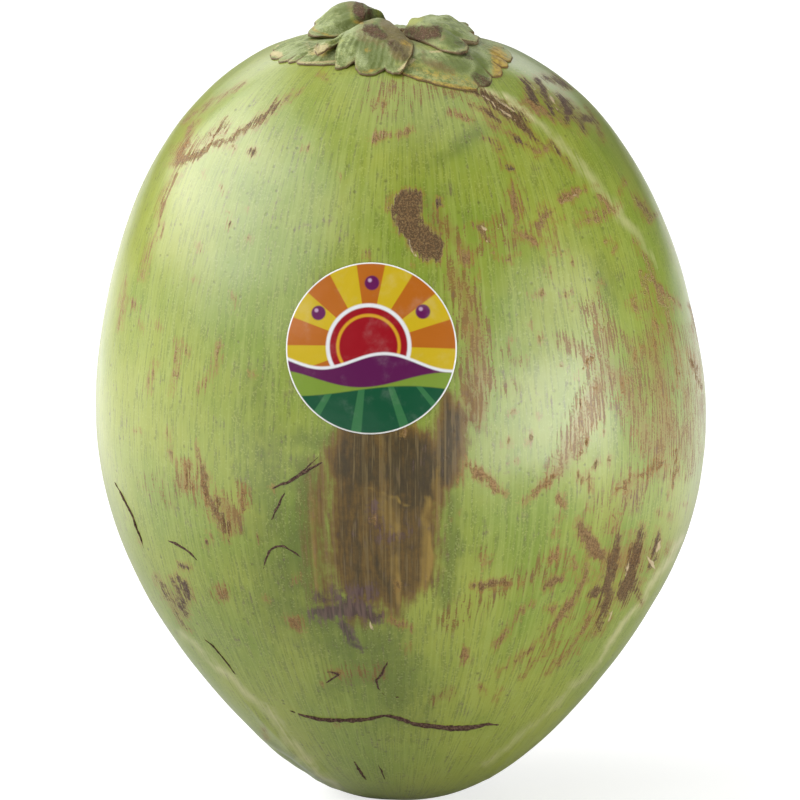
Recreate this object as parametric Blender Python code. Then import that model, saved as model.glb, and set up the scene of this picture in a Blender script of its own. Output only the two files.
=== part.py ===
"""A fresh green coconut, standing on its blunt end: the husk, the six scales of its cap and the round sticker.

The fruit is about 205 mm tall and 155 mm wide. Its husk is one body that goes from round at the waist to
three-sided at both ends. The cap is two layers of three leathery scales round the scar of the stalk.
Azimuths are in degrees, seen from above, from the front (-Y) towards the right (+X).
"""
import math

import bmesh
import bpy
from mathutils import Vector
from mathutils.bvhtree import BVHTree

MM = 0.001

# Husk: half width, half height, the height where its formula ends at the top, and the soft flat under the cap.
HUSK_HALF_WIDTH = 76.9 * MM
HUSK_HALF_HEIGHT = 101.1 * MM
HUSK_TOP = 200.5 * MM
CROWN_FLAT = 195.9 * MM
CROWN_SOFT = 1.5 * MM

# How the half width departs from an ellipse, by powers of the height (-1 at the foot, 1 at the top).
BULGE_1 = 0.017
BULGE_2 = -0.135
BULGE_3 = 0.299
BULGE_4 = 0.129
BULGE_5 = -0.162

# The fruit leans a little: sideways shift by powers of the same height.
LEAN_0 = 0.3 * MM
LEAN_1 = -1.8 * MM
LEAN_2 = -1.6 * MM
LEAN_3 = 0.6 * MM

# Three long ridges: where each leaves the top, and how far it bows round at the waist.
RIDGES = ((48.0, 24.0), (-48.0, -24.0), (180.0, 0.0))
RIDGE_WIDTH = 7.0
CREST_WIDTH = 60.0

# The whole model is moved by this much, so that its box is centred over the origin.
SHIFT_X = -0.3 * MM
SHIFT_Y = -1.37 * MM

# Cap: its middle, the scar of the stalk, and the gap left between touching pieces.
CAP_X = -2.5 * MM
CAP_Y = -5.0 * MM
SCAR_RADIUS = 4.4 * MM
SCAR_HEIGHT = 3.4 * MM
GAP = 0.3 * MM

# Inner scales lie on the husk. Each: name, azimuths of its two sides and of its tip, reach in mm, lobes at the tip.
INNER = (
    ("tepal_inner_left", -126.0, -13.0, -58.0, 32.8, 4),
    ("tepal_inner_right", -7.5, 106.5, 38.0, 39.5, 5),
    ("tepal_inner_back", 111.5, 229.5, 172.0, 33.0, 4),
)
INNER_START = 5.6
INNER_SEAM = 24.7
INNER_THICK = 1.4
INNER_EDGE = 0.7
INNER_LOBE = 1.0

# Outer scales cover the seams. Each: name, middle azimuth, half span, reach, skew of the reach, half width in mm,
# then the height of its hump's top over the table and the hump's half width.
OUTER = (
    ("tepal_outer_front", -16.5, 39.0, 32.5, 0.5, 13.0, 202.7, 8.0),
    ("tepal_outer_left", -124.0, 57.0, 20.0, -3.0, 20.0, 205.0, 9.5),
    ("tepal_outer_right", 76.0, 48.5, 24.0, -2.5, 22.0, 202.6, 16.0),
)
OUTER_START = 5.8
OUTER_LIFT = 2.1
OUTER_THICK = 1.2
OUTER_EDGE = 0.8
OUTER_LOBE = 2.6
HUMP_AT = 12.8
HUMP_LONG = 8.0
HUMP_ROOT = 13.0

# Sticker: where its centre is on the front of the husk, its size and thickness.
LABEL_X = -7.6 * MM
LABEL_Z = 129.4 * MM
LABEL_RADIUS = 21.0 * MM
LABEL_THICK = 0.4 * MM


def smooth(low, high, value):
    """0 below low, 1 above high, and an even curve between them."""
    part = min(max((value - low) / (high - low), 0.0), 1.0)
    return part * part * (3.0 - 2.0 * part)


def husk_point(theta, azimuth):
    """The point of the husk at this angle down from the top and this azimuth in radians."""
    height = math.cos(theta)
    level = height * height
    ridge = 0.0
    crest = 0.0
    for start, bow in RIDGES:
        away = math.cos(azimuth - math.radians(start + bow * (1.0 - level))) - 1.0
        ridge += math.exp(RIDGE_WIDTH * away)
        crest += math.exp(CREST_WIDTH * away)
    section = 1.0 + (0.035 + 0.055 * level) * (ridge - 0.46) + (0.004 + 0.022 * level) * (crest - 0.1)
    bulge = BULGE_1 + height * (BULGE_2 + height * (BULGE_3 + height * (BULGE_4 + height * BULGE_5)))
    radius = HUSK_HALF_WIDTH * math.sin(theta) * (1.0 + height * bulge) * section
    lean = LEAN_0 + height * (LEAN_1 + height * (LEAN_2 + height * LEAN_3))
    z = HUSK_TOP - HUSK_HALF_HEIGHT * (1.0 - height)
    z = CROWN_FLAT - CROWN_SOFT * math.log1p(math.exp((CROWN_FLAT - z) / CROWN_SOFT))
    x = lean + radius * math.sin(azimuth) + SHIFT_X
    y = SHIFT_Y - radius * math.cos(azimuth)
    return Vector((x, y, max(z, 0.0)))


def material(name, colour, roughness):
    """A plain material of this colour."""
    made = bpy.data.materials.new(name)
    made.use_nodes = True
    shader = made.node_tree.nodes["Principled BSDF"]
    shader.inputs["Base Color"].default_value = (*colour, 1.0)
    shader.inputs["Roughness"].default_value = roughness
    return made


def finish(name, body, paint):
    """Makes the object from its mesh, with its normals facing out."""
    bmesh.ops.recalc_face_normals(body, faces=body.faces)
    if body.calc_volume(signed=True) < 0.0:
        bmesh.ops.reverse_faces(body, faces=body.faces)
    mesh = bpy.data.meshes.new(name)
    body.to_mesh(mesh)
    mesh.materials.append(paint)
    thing = bpy.data.objects.new(name, mesh)
    fruit.objects.link(thing)
    return thing


def slab(name, across, along, top, under, paint):
    """A grid bent to the formula `top`, thickened down to the formula `under`."""
    body = bmesh.new()
    bmesh.ops.create_grid(body, x_segments=across, y_segments=along, size=1.0)
    upper = list(body.verts)
    places = {vert: (vert.co.x, vert.co.y) for vert in upper}
    made = bmesh.ops.extrude_face_region(body, geom=list(body.faces))
    lower = [item for item in made["geom"] if isinstance(item, bmesh.types.BMVert)]
    for vert in lower:
        vert.co = under(vert.co.x, vert.co.y)
    for vert in upper:
        vert.co = top(*places[vert])
    thing = finish(name, body, paint)
    body.free()
    return thing


for old in list(bpy.data.objects):
    bpy.data.objects.remove(old, do_unlink=True)

fruit = bpy.data.collections.new("green_coconut")
bpy.context.scene.collection.children.link(fruit)

rind = material("husk_rind", (0.245, 0.350, 0.075), 0.42)
leather = material("tepal_skin", (0.150, 0.195, 0.080), 0.60)
cork = material("stalk_cork", (0.210, 0.120, 0.050), 0.90)
print_film = material("label_film", (0.620, 0.360, 0.060), 0.30)

# Husk: a sphere pushed out to the formula of the fruit, with its foot flattened where it stands.
ball = bmesh.new()
bmesh.ops.create_uvsphere(ball, u_segments=64, v_segments=44, radius=1.0)
for vert in ball.verts:
    down = math.acos(min(max(vert.co.z, -1.0), 1.0))
    vert.co = husk_point(down, math.atan2(vert.co.x, -vert.co.y))
bmesh.ops.recalc_face_normals(ball, faces=ball.faces)
skin = BVHTree.FromBMesh(ball)
finish("husk", ball, rind)
ball.free()


def crown(x, y):
    """The height of the husk's top at this point of the plan."""
    hit = skin.ray_cast(Vector((x, y, 1.0)), Vector((0.0, 0.0, -1.0)))
    return hit[0].z


def on_cap(azimuth, reach, lift):
    """A point above the husk by azimuth in degrees and distance from the middle of the cap, both in mm."""
    x = CAP_X + SHIFT_X + reach * MM * math.sin(math.radians(azimuth))
    y = CAP_Y + SHIFT_Y - reach * MM * math.cos(math.radians(azimuth))
    return Vector((x, y, crown(x, y) + lift * MM))


def inner_edge(azimuth):
    """How far the inner scale that covers this azimuth reaches, in mm, without its lobes."""
    best = INNER_SEAM
    for _, first, last, tip, reach, _ in INNER:
        turned = (azimuth - first) % 360.0 + first
        if turned <= last:
            away = (tip - turned) / (tip - first) if turned < tip else (turned - tip) / (last - tip)
            best = INNER_SEAM + (reach - INNER_SEAM) * (1.0 - away**1.2)
    return best


# Inner scales: thin, flat on the husk, thinner towards a margin that is torn into shallow lobes.
for name, first, last, tip, reach, lobes in INNER:

    def place(u, v):
        """Azimuth, distance and how close this point is to the margin."""
        azimuth = first + (last - first) * (u + 1.0) / 2.0
        end = inner_edge(azimuth)
        end -= INNER_LOBE * (1.0 - abs(math.sin(math.pi * lobes * (u + 1.0) / 2.0)) ** 0.5)
        far = INNER_START + (end - INNER_START) * (v + 1.0) / 2.0
        return azimuth, far, smooth(-9.0, -0.5, far - end)

    def upper_side(u, v):
        azimuth, far, margin = place(u, v)
        lift = GAP / MM + INNER_THICK - (INNER_THICK - INNER_EDGE) * margin
        return on_cap(azimuth, far, lift)

    def lower_side(u, v):
        azimuth, far, margin = place(u, v)
        return on_cap(azimuth, far, GAP / MM)

    slab(name, 24, 8, upper_side, lower_side, leather)

# Outer scales: each rises in a thick hump near the scar, then drops over the seam of the inner scales.
for name, middle, span, reach, skew, half_width, hump_top, hump_wide in OUTER:

    def place(u, v):
        """Azimuth, distance, distance along the scale's middle, offset from it, and closeness to the margin."""
        end = reach * (1.0 - 0.14 * u * u) + skew * u
        end -= OUTER_LOBE * (1.0 - abs(math.sin(2.0 * math.pi * u)) ** 0.5)
        start = OUTER_START * math.cos(math.radians(span * u))
        along = start + (end - start) * (v + 1.0) / 2.0
        limit = math.tan(math.radians(span)) * along
        side = u * (half_width * limit) / (half_width**4 + limit**4) ** 0.25
        azimuth = middle + math.degrees(math.atan2(side, along))
        near = max(smooth(-6.0, -0.5, along - end), smooth(0.72, 1.0, abs(u)))
        return azimuth, math.hypot(side, along), along, side, near

    def underside(azimuth, far):
        edge = inner_edge(azimuth)
        return 0.6 + (OUTER_LIFT - 0.6) * (1.0 - smooth(edge - 1.0, edge + 5.0, far))

    hump = (hump_top - on_cap(middle, HUMP_AT, 0.0).z / MM) - OUTER_LIFT - OUTER_THICK

    def upper_side(u, v):
        azimuth, far, along, side, near = place(u, v)
        slope = HUMP_LONG if along > HUMP_AT else HUMP_ROOT
        swell = hump * math.exp(-(((along - HUMP_AT) / slope) ** 2) - (side / hump_wide) ** 2)
        thick = OUTER_THICK - (OUTER_THICK - OUTER_EDGE) * near
        return on_cap(azimuth, far, underside(azimuth, far) + thick + swell)

    def lower_side(u, v):
        azimuth, far, along, side, near = place(u, v)
        return on_cap(azimuth, far, underside(azimuth, far))

    slab(name, 20, 12, upper_side, lower_side, leather)

# Scar of the stalk: a low stub in the middle of the cap, between the humps.
stub = bmesh.new()
bmesh.ops.create_cone(
    stub, cap_ends=True, segments=24, radius1=SCAR_RADIUS, radius2=SCAR_RADIUS * 0.8, depth=SCAR_HEIGHT
)
floor = on_cap(0.0, 0.0, GAP / MM)
for vert in stub.verts:
    turn = math.atan2(vert.co.y, vert.co.x)
    ragged = 1.0 + 0.03 * math.sin(5.0 * turn)
    vert.co = Vector((vert.co.x * ragged, vert.co.y * ragged, vert.co.z + SCAR_HEIGHT / 2.0)) + floor
finish("stalk_scar", stub, cork)
stub.free()

# Sticker: a thin round film that follows the husk at a small gap.
heart = skin.ray_cast(Vector((LABEL_X, -0.2, LABEL_Z)), Vector((0.0, 1.0, 0.0)))
outward = heart[1]
level = Vector((0.0, 0.0, 1.0)).cross(outward).normalized()
upright = outward.cross(level).normalized()


def on_label(u, v, lift):
    """A point over the husk: the grid's square is eased into a disc, then dropped along the sticker's axis."""
    right = LABEL_RADIUS * u * math.sqrt(1.0 - v * v / 2.0)
    up = LABEL_RADIUS * v * math.sqrt(1.0 - u * u / 2.0)
    above = heart[0] + level * right + upright * up + outward * 0.02
    hit = skin.ray_cast(above, -outward)
    return hit[0] + outward * lift


slab(
    "label",
    14,
    14,
    lambda u, v: on_label(u, v, GAP + LABEL_THICK),
    lambda u, v: on_label(u, v, GAP),
    print_film,
)
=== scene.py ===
import math
import random

import bmesh
import bpy
import numpy as np
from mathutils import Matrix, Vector
from mathutils.bvhtree import BVHTree
from mathutils.noise import noise as noise_of


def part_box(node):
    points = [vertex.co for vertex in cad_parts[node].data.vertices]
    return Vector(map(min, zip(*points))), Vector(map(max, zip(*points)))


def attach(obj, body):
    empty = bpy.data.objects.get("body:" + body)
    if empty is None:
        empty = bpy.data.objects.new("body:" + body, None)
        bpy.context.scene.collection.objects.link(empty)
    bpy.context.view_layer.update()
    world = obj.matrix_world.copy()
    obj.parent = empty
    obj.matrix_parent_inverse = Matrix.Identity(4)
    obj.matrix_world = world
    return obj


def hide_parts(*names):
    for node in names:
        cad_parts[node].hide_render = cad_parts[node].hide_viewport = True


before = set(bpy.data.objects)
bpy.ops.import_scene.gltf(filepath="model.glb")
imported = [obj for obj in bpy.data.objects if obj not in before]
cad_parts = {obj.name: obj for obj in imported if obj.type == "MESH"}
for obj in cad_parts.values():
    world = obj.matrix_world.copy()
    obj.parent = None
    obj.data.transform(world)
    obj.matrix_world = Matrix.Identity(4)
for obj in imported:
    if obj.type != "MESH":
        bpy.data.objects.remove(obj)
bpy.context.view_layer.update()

# Camera: where the photographer stood, a little above the fruit and well back, looking at its middle.
# The photograph is 800 pixels square and the fruit fills it from top to bottom.
PHOTO_SIDE = 800
CAMERA_AIM = Vector((-0.0003, -0.00137, 0.1025))
CAMERA_DISTANCE = 1.6
CAMERA_RISE = math.radians(11.0)
FRAME_HEIGHT = 0.205


def placed(name, data):
    """A new object in the scene."""
    made = bpy.data.objects.new(name, data)
    bpy.context.scene.collection.objects.link(made)
    return made


camera = placed("camera", bpy.data.cameras.new("camera"))
camera_back = Vector((0.0, -math.cos(CAMERA_RISE), math.sin(CAMERA_RISE)))
camera_up = Vector((0.0, math.sin(CAMERA_RISE), math.cos(CAMERA_RISE)))
camera.location = CAMERA_AIM + camera_back * CAMERA_DISTANCE
camera.rotation_mode = "QUATERNION"
camera.rotation_quaternion = (-camera_back).to_track_quat("-Z", "Y")
camera.data.lens = camera.data.sensor_width * CAMERA_DISTANCE / FRAME_HEIGHT
bpy.context.scene.camera = camera
bpy.context.scene.view_settings.view_transform = "Standard"


def in_photo(points):
    """The photograph's pixel for each of these places, as an array of x and y."""
    from_camera = np.asarray(points, float) - np.array(camera.location)
    depth = from_camera @ -np.array(camera_back)
    scale = PHOTO_SIDE * CAMERA_DISTANCE / FRAME_HEIGHT / depth
    x = PHOTO_SIDE / 2 + from_camera[:, 0] * scale
    y = PHOTO_SIDE / 2 - (from_camera @ np.array(camera_up)) * scale
    return np.stack([x, y], axis=1)


def ray_through(x, y):
    """The direction from the camera through this pixel of the photograph."""
    right = (x - PHOTO_SIDE / 2) / PHOTO_SIDE * FRAME_HEIGHT
    rise = (PHOTO_SIDE / 2 - y) / PHOTO_SIDE * FRAME_HEIGHT
    ahead = camera_back * -CAMERA_DISTANCE + Vector((right, 0.0, 0.0)) + camera_up * rise
    return ahead.normalized()


# Husk: the green rind, grown in one piece over a thick coat of fibre. It is round at the waist and
# three-sided at both ends, with three soft ridges. The rind is waxy, with fine grooves along the fibre.
class Field:
    """A number worked out by a node tree, so that a formula can be written as one: it adds Math nodes."""

    def __init__(self, socket):
        self.socket = socket

    def step(self, operation, *others):
        tree = self.socket.id_data
        made = tree.nodes.new("ShaderNodeMath")
        made.operation = operation
        for place, value in zip(made.inputs, (self, *others)):
            if isinstance(value, Field):
                tree.links.new(value.socket, place)
            else:
                place.default_value = value
        return Field(made.outputs[0])

    def __add__(self, other):
        return self.step("ADD", other)

    def __sub__(self, other):
        return self.step("SUBTRACT", other)

    def __mul__(self, other):
        return self.step("MULTIPLY", other)

    def __truediv__(self, other):
        return self.step("DIVIDE", other)

    def __neg__(self):
        return self.step("MULTIPLY", -1.0)


def new_node(tree, kind, **inputs):
    """A node with these inputs: values are set, and sockets and Fields are linked."""
    made = tree.nodes.new(kind)
    for name, value in inputs.items():
        place = made.inputs[name.replace("_", " ")]
        if isinstance(value, Field):
            value = value.socket
        if isinstance(value, bpy.types.NodeSocket):
            tree.links.new(value, place)
        else:
            place.default_value = value
    return made


def scaled(tree, vector, factor):
    """A vector times a number."""
    made = tree.nodes.new("ShaderNodeVectorMath")
    made.operation = "SCALE"
    tree.links.new(vector, made.inputs[0])
    tree.links.new(factor, made.inputs["Scale"])
    return made.outputs[0]


def form_tree(name, sizes):
    """A Geometry Nodes tree with these named inputs. Gives the tree and its inputs as sockets."""
    tree = bpy.data.node_groups.new(name, "GeometryNodeTree")
    tree.interface.new_socket("Geometry", in_out="INPUT", socket_type="NodeSocketGeometry")
    kinds = {float: "NodeSocketFloat", int: "NodeSocketInt"}
    for label, value in sizes.items():
        kind = kinds.get(type(value), "NodeSocketMaterial")
        tree.interface.new_socket(label, in_out="INPUT", socket_type=kind)
    tree.interface.new_socket("Geometry", in_out="OUTPUT", socket_type="NodeSocketGeometry")
    entry = tree.nodes.new("NodeGroupInput")
    return tree, entry.outputs


def grown(name, tree, sizes, start=None):
    """The plain mesh object that this tree makes with these sizes."""
    holder = placed(name, start or bpy.data.meshes.new(name))
    modifier = holder.modifiers.new(name, "NODES")
    modifier.node_group = tree
    for item in tree.interface.items_tree:
        if item.in_out == "INPUT" and item.name in sizes:
            modifier[item.identifier] = sizes[item.name]
    graph = bpy.context.evaluated_depsgraph_get()
    mesh = bpy.data.meshes.new_from_object(holder.evaluated_get(graph), depsgraph=graph)
    bpy.data.objects.remove(holder, do_unlink=True)
    mesh.name = name
    return placed(name, mesh)


def end_tree(tree, geometry, material):
    """Ends a tree: copies are made real and the material is set."""
    real = new_node(tree, "GeometryNodeRealizeInstances", Geometry=geometry)
    coated = new_node(tree, "GeometryNodeSetMaterial", Geometry=real.outputs[0], Material=material)
    leave = tree.nodes.new("NodeGroupOutput")
    tree.links.new(coated.outputs[0], leave.inputs[0])


rind = bpy.data.materials.new("husk_rind")
husk_sizes = {
    "Half Width": 0.0769,
    "Half Height": 0.1011,
    "Top": 0.2005,
    "Crown Flat": 0.1959,
    "Crown Soft": 0.0015,
    "Bulge 1": 0.017,
    "Bulge 2": -0.135,
    "Bulge 3": 0.299,
    "Bulge 4": 0.129,
    "Bulge 5": -0.162,
    "Lean 0": 0.0,
    "Lean 1": -0.0018,
    "Lean 2": -0.0016,
    "Lean 3": 0.0006,
    "Shift Y": -0.00137,
    "Ridge Width": 7.0,
    "Crest Width": 60.0,
    "Unevenness": 0.0009,
    "Around": 336,
    "Down": 292,
    "Material": rind,
}
# Azimuth of each ridge at the ends of the fruit, and how far it bows round at the waist, in degrees.
HUSK_RIDGES = ((48.0, 24.0), (-48.0, -24.0), (180.0, 0.0))
# How far the ridges and their thin crests stand out at the waist, how much more at the ends, and their mean.
RIDGE_WAIST, RIDGE_ENDS, RIDGE_MEAN = 0.035, 0.055, 0.46
CREST_WAIST, CREST_ENDS, CREST_MEAN = 0.004, 0.022, 0.1
# How much closer the mesh's lines lie on the side that the photograph shows.
FRONT_CROWDING = 0.6
# The size of the smooth sheet that the fibre pattern is drawn on.
GRAIN_RADIUS, GRAIN_LENGTH = 0.077, 0.09

tree, size = form_tree("husk_form", husk_sizes)
ball = new_node(tree, "GeometryNodeMeshUVSphere", Segments=size["Around"], Rings=size["Down"], Radius=1.0)
ball_place = tree.nodes.new("GeometryNodeInputPosition")
place = new_node(tree, "ShaderNodeSeparateXYZ", Vector=ball_place.outputs[0])
height = Field(place.outputs["Z"]).step("MINIMUM", 1.0).step("MAXIMUM", -1.0)
level = height * height
girth = (-level + 1.0).step("MAXIMUM", 0.0).step("SQRT")
turn = Field(place.outputs["X"]).step("ARCTAN2", -Field(place.outputs["Y"]))
turn = turn - turn.step("SINE") * FRONT_CROWDING
ridge = Field(place.outputs["Z"]) * 0.0
crest = ridge
for start, bow in HUSK_RIDGES:
    azimuth = -level * math.radians(bow) + math.radians(start + bow)
    away = (turn - azimuth).step("COSINE") - 1.0
    ridge = ridge + (away * Field(size["Ridge Width"])).step("EXPONENT")
    crest = crest + (away * Field(size["Crest Width"])).step("EXPONENT")
ridged = (level * RIDGE_ENDS + RIDGE_WAIST) * (ridge - RIDGE_MEAN)
crested = (level * CREST_ENDS + CREST_WAIST) * (crest - CREST_MEAN)
section = ridged + crested + 1.0
bulge = height * Field(size["Bulge 5"]) + Field(size["Bulge 4"])
for power in (3, 2, 1):
    bulge = height * bulge + Field(size["Bulge %d" % power])
radius = girth * Field(size["Half Width"]) * (height * bulge + 1.0) * section
lean = height * Field(size["Lean 3"]) + Field(size["Lean 2"])
lean = height * (height * lean + Field(size["Lean 1"])) + Field(size["Lean 0"])
below = -((-height + 1.0) * Field(size["Half Height"])) + Field(size["Top"])
soft = (-below + Field(size["Crown Flat"])) / Field(size["Crown Soft"])
rounding = ((-soft.step("ABSOLUTE")).step("EXPONENT") + 1.0).step("LOGARITHM", math.e)
soft = soft.step("MAXIMUM", 0.0) + rounding
upright = -(soft * Field(size["Crown Soft"])) + Field(size["Crown Flat"])
sideways = lean + radius * turn.step("SINE")
forward = -(radius * turn.step("COSINE")) + Field(size["Shift Y"])
formed = new_node(tree, "ShaderNodeCombineXYZ", X=sideways, Y=forward, Z=upright)
moved = new_node(tree, "GeometryNodeSetPosition", Geometry=ball.outputs[0], Position=formed.outputs[0])
lumps = new_node(tree, "ShaderNodeTexNoise", Scale=26.0, Detail=2.0, Roughness=0.4)
swell = (Field(lumps.outputs[0]) - 0.5) * Field(size["Unevenness"]) * 2.0
outward = tree.nodes.new("GeometryNodeInputNormal")
push = scaled(tree, outward.outputs[0], swell.socket)
uneven = new_node(tree, "GeometryNodeSetPosition", Geometry=moved.outputs[0], Offset=push)
grain_x = turn.step("SINE") * GRAIN_RADIUS
grain_y = -(turn.step("COSINE") * GRAIN_RADIUS)
grain_z = height.step("ARCCOSINE") * -GRAIN_LENGTH
grain = new_node(tree, "ShaderNodeCombineXYZ", X=grain_x, Y=grain_y, Z=grain_z)
kept = tree.nodes.new("GeometryNodeStoreNamedAttribute")
kept.data_type = "FLOAT_VECTOR"
kept.inputs["Name"].default_value = "grain"
tree.links.new(uneven.outputs[0], kept.inputs["Geometry"])
tree.links.new(grain.outputs[0], kept.inputs["Value"])
end_tree(tree, kept.outputs[0], size["Material"])

husk = grown("husk_skin", tree, husk_sizes)
husk.data.shade_smooth()


def points_of(mesh):
    """The vertices of a mesh as an array."""
    flat = np.empty(len(mesh.vertices) * 3, np.float32)
    mesh.vertices.foreach_get("co", flat)
    return flat.reshape(-1, 3)


def set_points(mesh, points):
    """Moves the vertices of a mesh to these places."""
    mesh.vertices.foreach_set("co", np.asarray(points, np.float32).ravel())
    mesh.update()


fruit_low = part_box("husk")[0]
foot = points_of(husk.data)
foot[:, 2] = np.maximum(foot[:, 2], fruit_low.z)
set_points(husk.data, foot)

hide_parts("husk")
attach(husk, "root")


# Blemishes of the rind: scuffs that healed as brown cork, rust coloured speckle, and a large dark bruise
# under the sticker. Each is placed by pixels of the photograph, and kept as how deep inside it the skin is.
PIXEL = FRAME_HEIGHT / PHOTO_SIDE
MM_PIXEL = PIXEL * 1000.0
DEEPEST = 3.0
# What stands for the pixel of a place that the photograph doesn't show.
UNSEEN = -1e4
LEAST_FACING = 0.03


def depth_in_stroke(seen, points):
    """How many pixels inside this line with its widths each seen place is, negative outside."""
    deepest = np.full(len(seen), -1e9)
    for (ax, ay, first), (bx, by, last) in zip(points, points[1:] or points):
        run = np.array([bx - ax, by - ay], float)
        length = max(float(run @ run), 1e-6)
        part = np.clip(((seen - (ax, ay)) @ run) / length, 0.0, 1.0)
        gap = np.hypot(*(seen - (ax, ay) - part[:, None] * run).T)
        deepest = np.maximum(deepest, (first + (last - first) * part) / 2.0 - gap)
    return deepest


def depth_in_area(seen, points):
    """How many pixels inside this outline each seen place is, negative outside."""
    gap = -depth_in_stroke(seen, [(x, y, 0.0) for x, y in (*points, points[0])])
    inside = np.zeros(len(seen), bool)
    for (ax, ay), (bx, by) in zip(points, (*points[1:], points[0])):
        if ay != by:
            level_with = (seen[:, 1] > min(ay, by)) & (seen[:, 1] <= max(ay, by))
            edge = ax + (seen[:, 1] - ay) / (by - ay) * (bx - ax)
            inside ^= level_with & (seen[:, 0] < edge)
    return np.where(inside, gap, -gap)


def depth_of(seen, points):
    """The same for a line with widths or an outline without."""
    return depth_in_stroke(seen, points) if len(points[0]) == 3 else depth_in_area(seen, points)


def add_attribute(mesh, name, values):
    """Keeps one number for each vertex."""
    made = mesh.attributes.new(name, "FLOAT", "POINT")
    made.data.foreach_set("value", np.asarray(values, np.float32))


def smooth(low, high, value):
    """0 below low, 1 above high, and an even curve between them."""
    part = np.clip((value - low) / (high - low), 0.0, 1.0)
    return part * part * (3.0 - 2.0 * part)


def soft_part(depth, fade):
    """0 to 1 over `fade` pixels on each side of the outline."""
    return smooth(-fade, fade, depth)


skin_points = points_of(husk.data)
skin_normals = np.empty(len(skin_points) * 3, np.float32)
husk.data.vertices.foreach_get("normal", skin_normals)
skin_normals = skin_normals.reshape(-1, 3)
to_lens = np.array(camera.location) - skin_points
facing = (skin_normals * to_lens).sum(axis=1) / np.linalg.norm(to_lens, axis=1)
skin_seen = in_photo(skin_points)

# Folds near the foot, where the front side laps over its neighbours: out in mm, softness, places and widths.
FOLDS = (
    (1.6, 14, ((226, 706, -36), (262, 742, -6), (290, 764, 8), (316, 780, 8), (345, 795, -30))),
    (0.7, 6, ((236, 692, -12), (262, 720, 2), (290, 748, 6), (320, 771, 6), (350, 791, -12))),
    (-1.7, 5, ((250, 730, -12), (290, 760, 3), (318, 781, 3), (345, 797, -12))),
    (0.5, 6, ((548, 712, -12), (524, 738, 4), (502, 762, 4), (484, 784, -8))),
)
for out, fade, points in FOLDS:
    amount = out * soft_part(depth_in_stroke(skin_seen, points), fade)
    if out < 0.0:
        amount = amount * smooth(-0.25, 0.05, facing)
    skin_points = skin_points + skin_normals * (amount / 1000.0)[:, None]
skin_points[:, 2] = np.maximum(skin_points[:, 2], fruit_low.z)
set_points(husk.data, skin_points)
skin_seen[facing < LEAST_FACING] = UNSEEN

grain_flat = np.empty(len(skin_points) * 3, np.float32)
husk.data.attributes["grain"].data.foreach_get("vector", grain_flat)
grain_kept = grain_flat.reshape(-1, 3)
around = np.arctan2(grain_kept[:, 0], -grain_kept[:, 1])
MEAN_RADIUS = 0.0735
GIRTH_PIXELS = MEAN_RADIUS / PIXEL
unrolled = np.stack([around % (2 * math.pi) * GIRTH_PIXELS, -grain_kept[:, 2] / PIXEL], axis=1)

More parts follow.
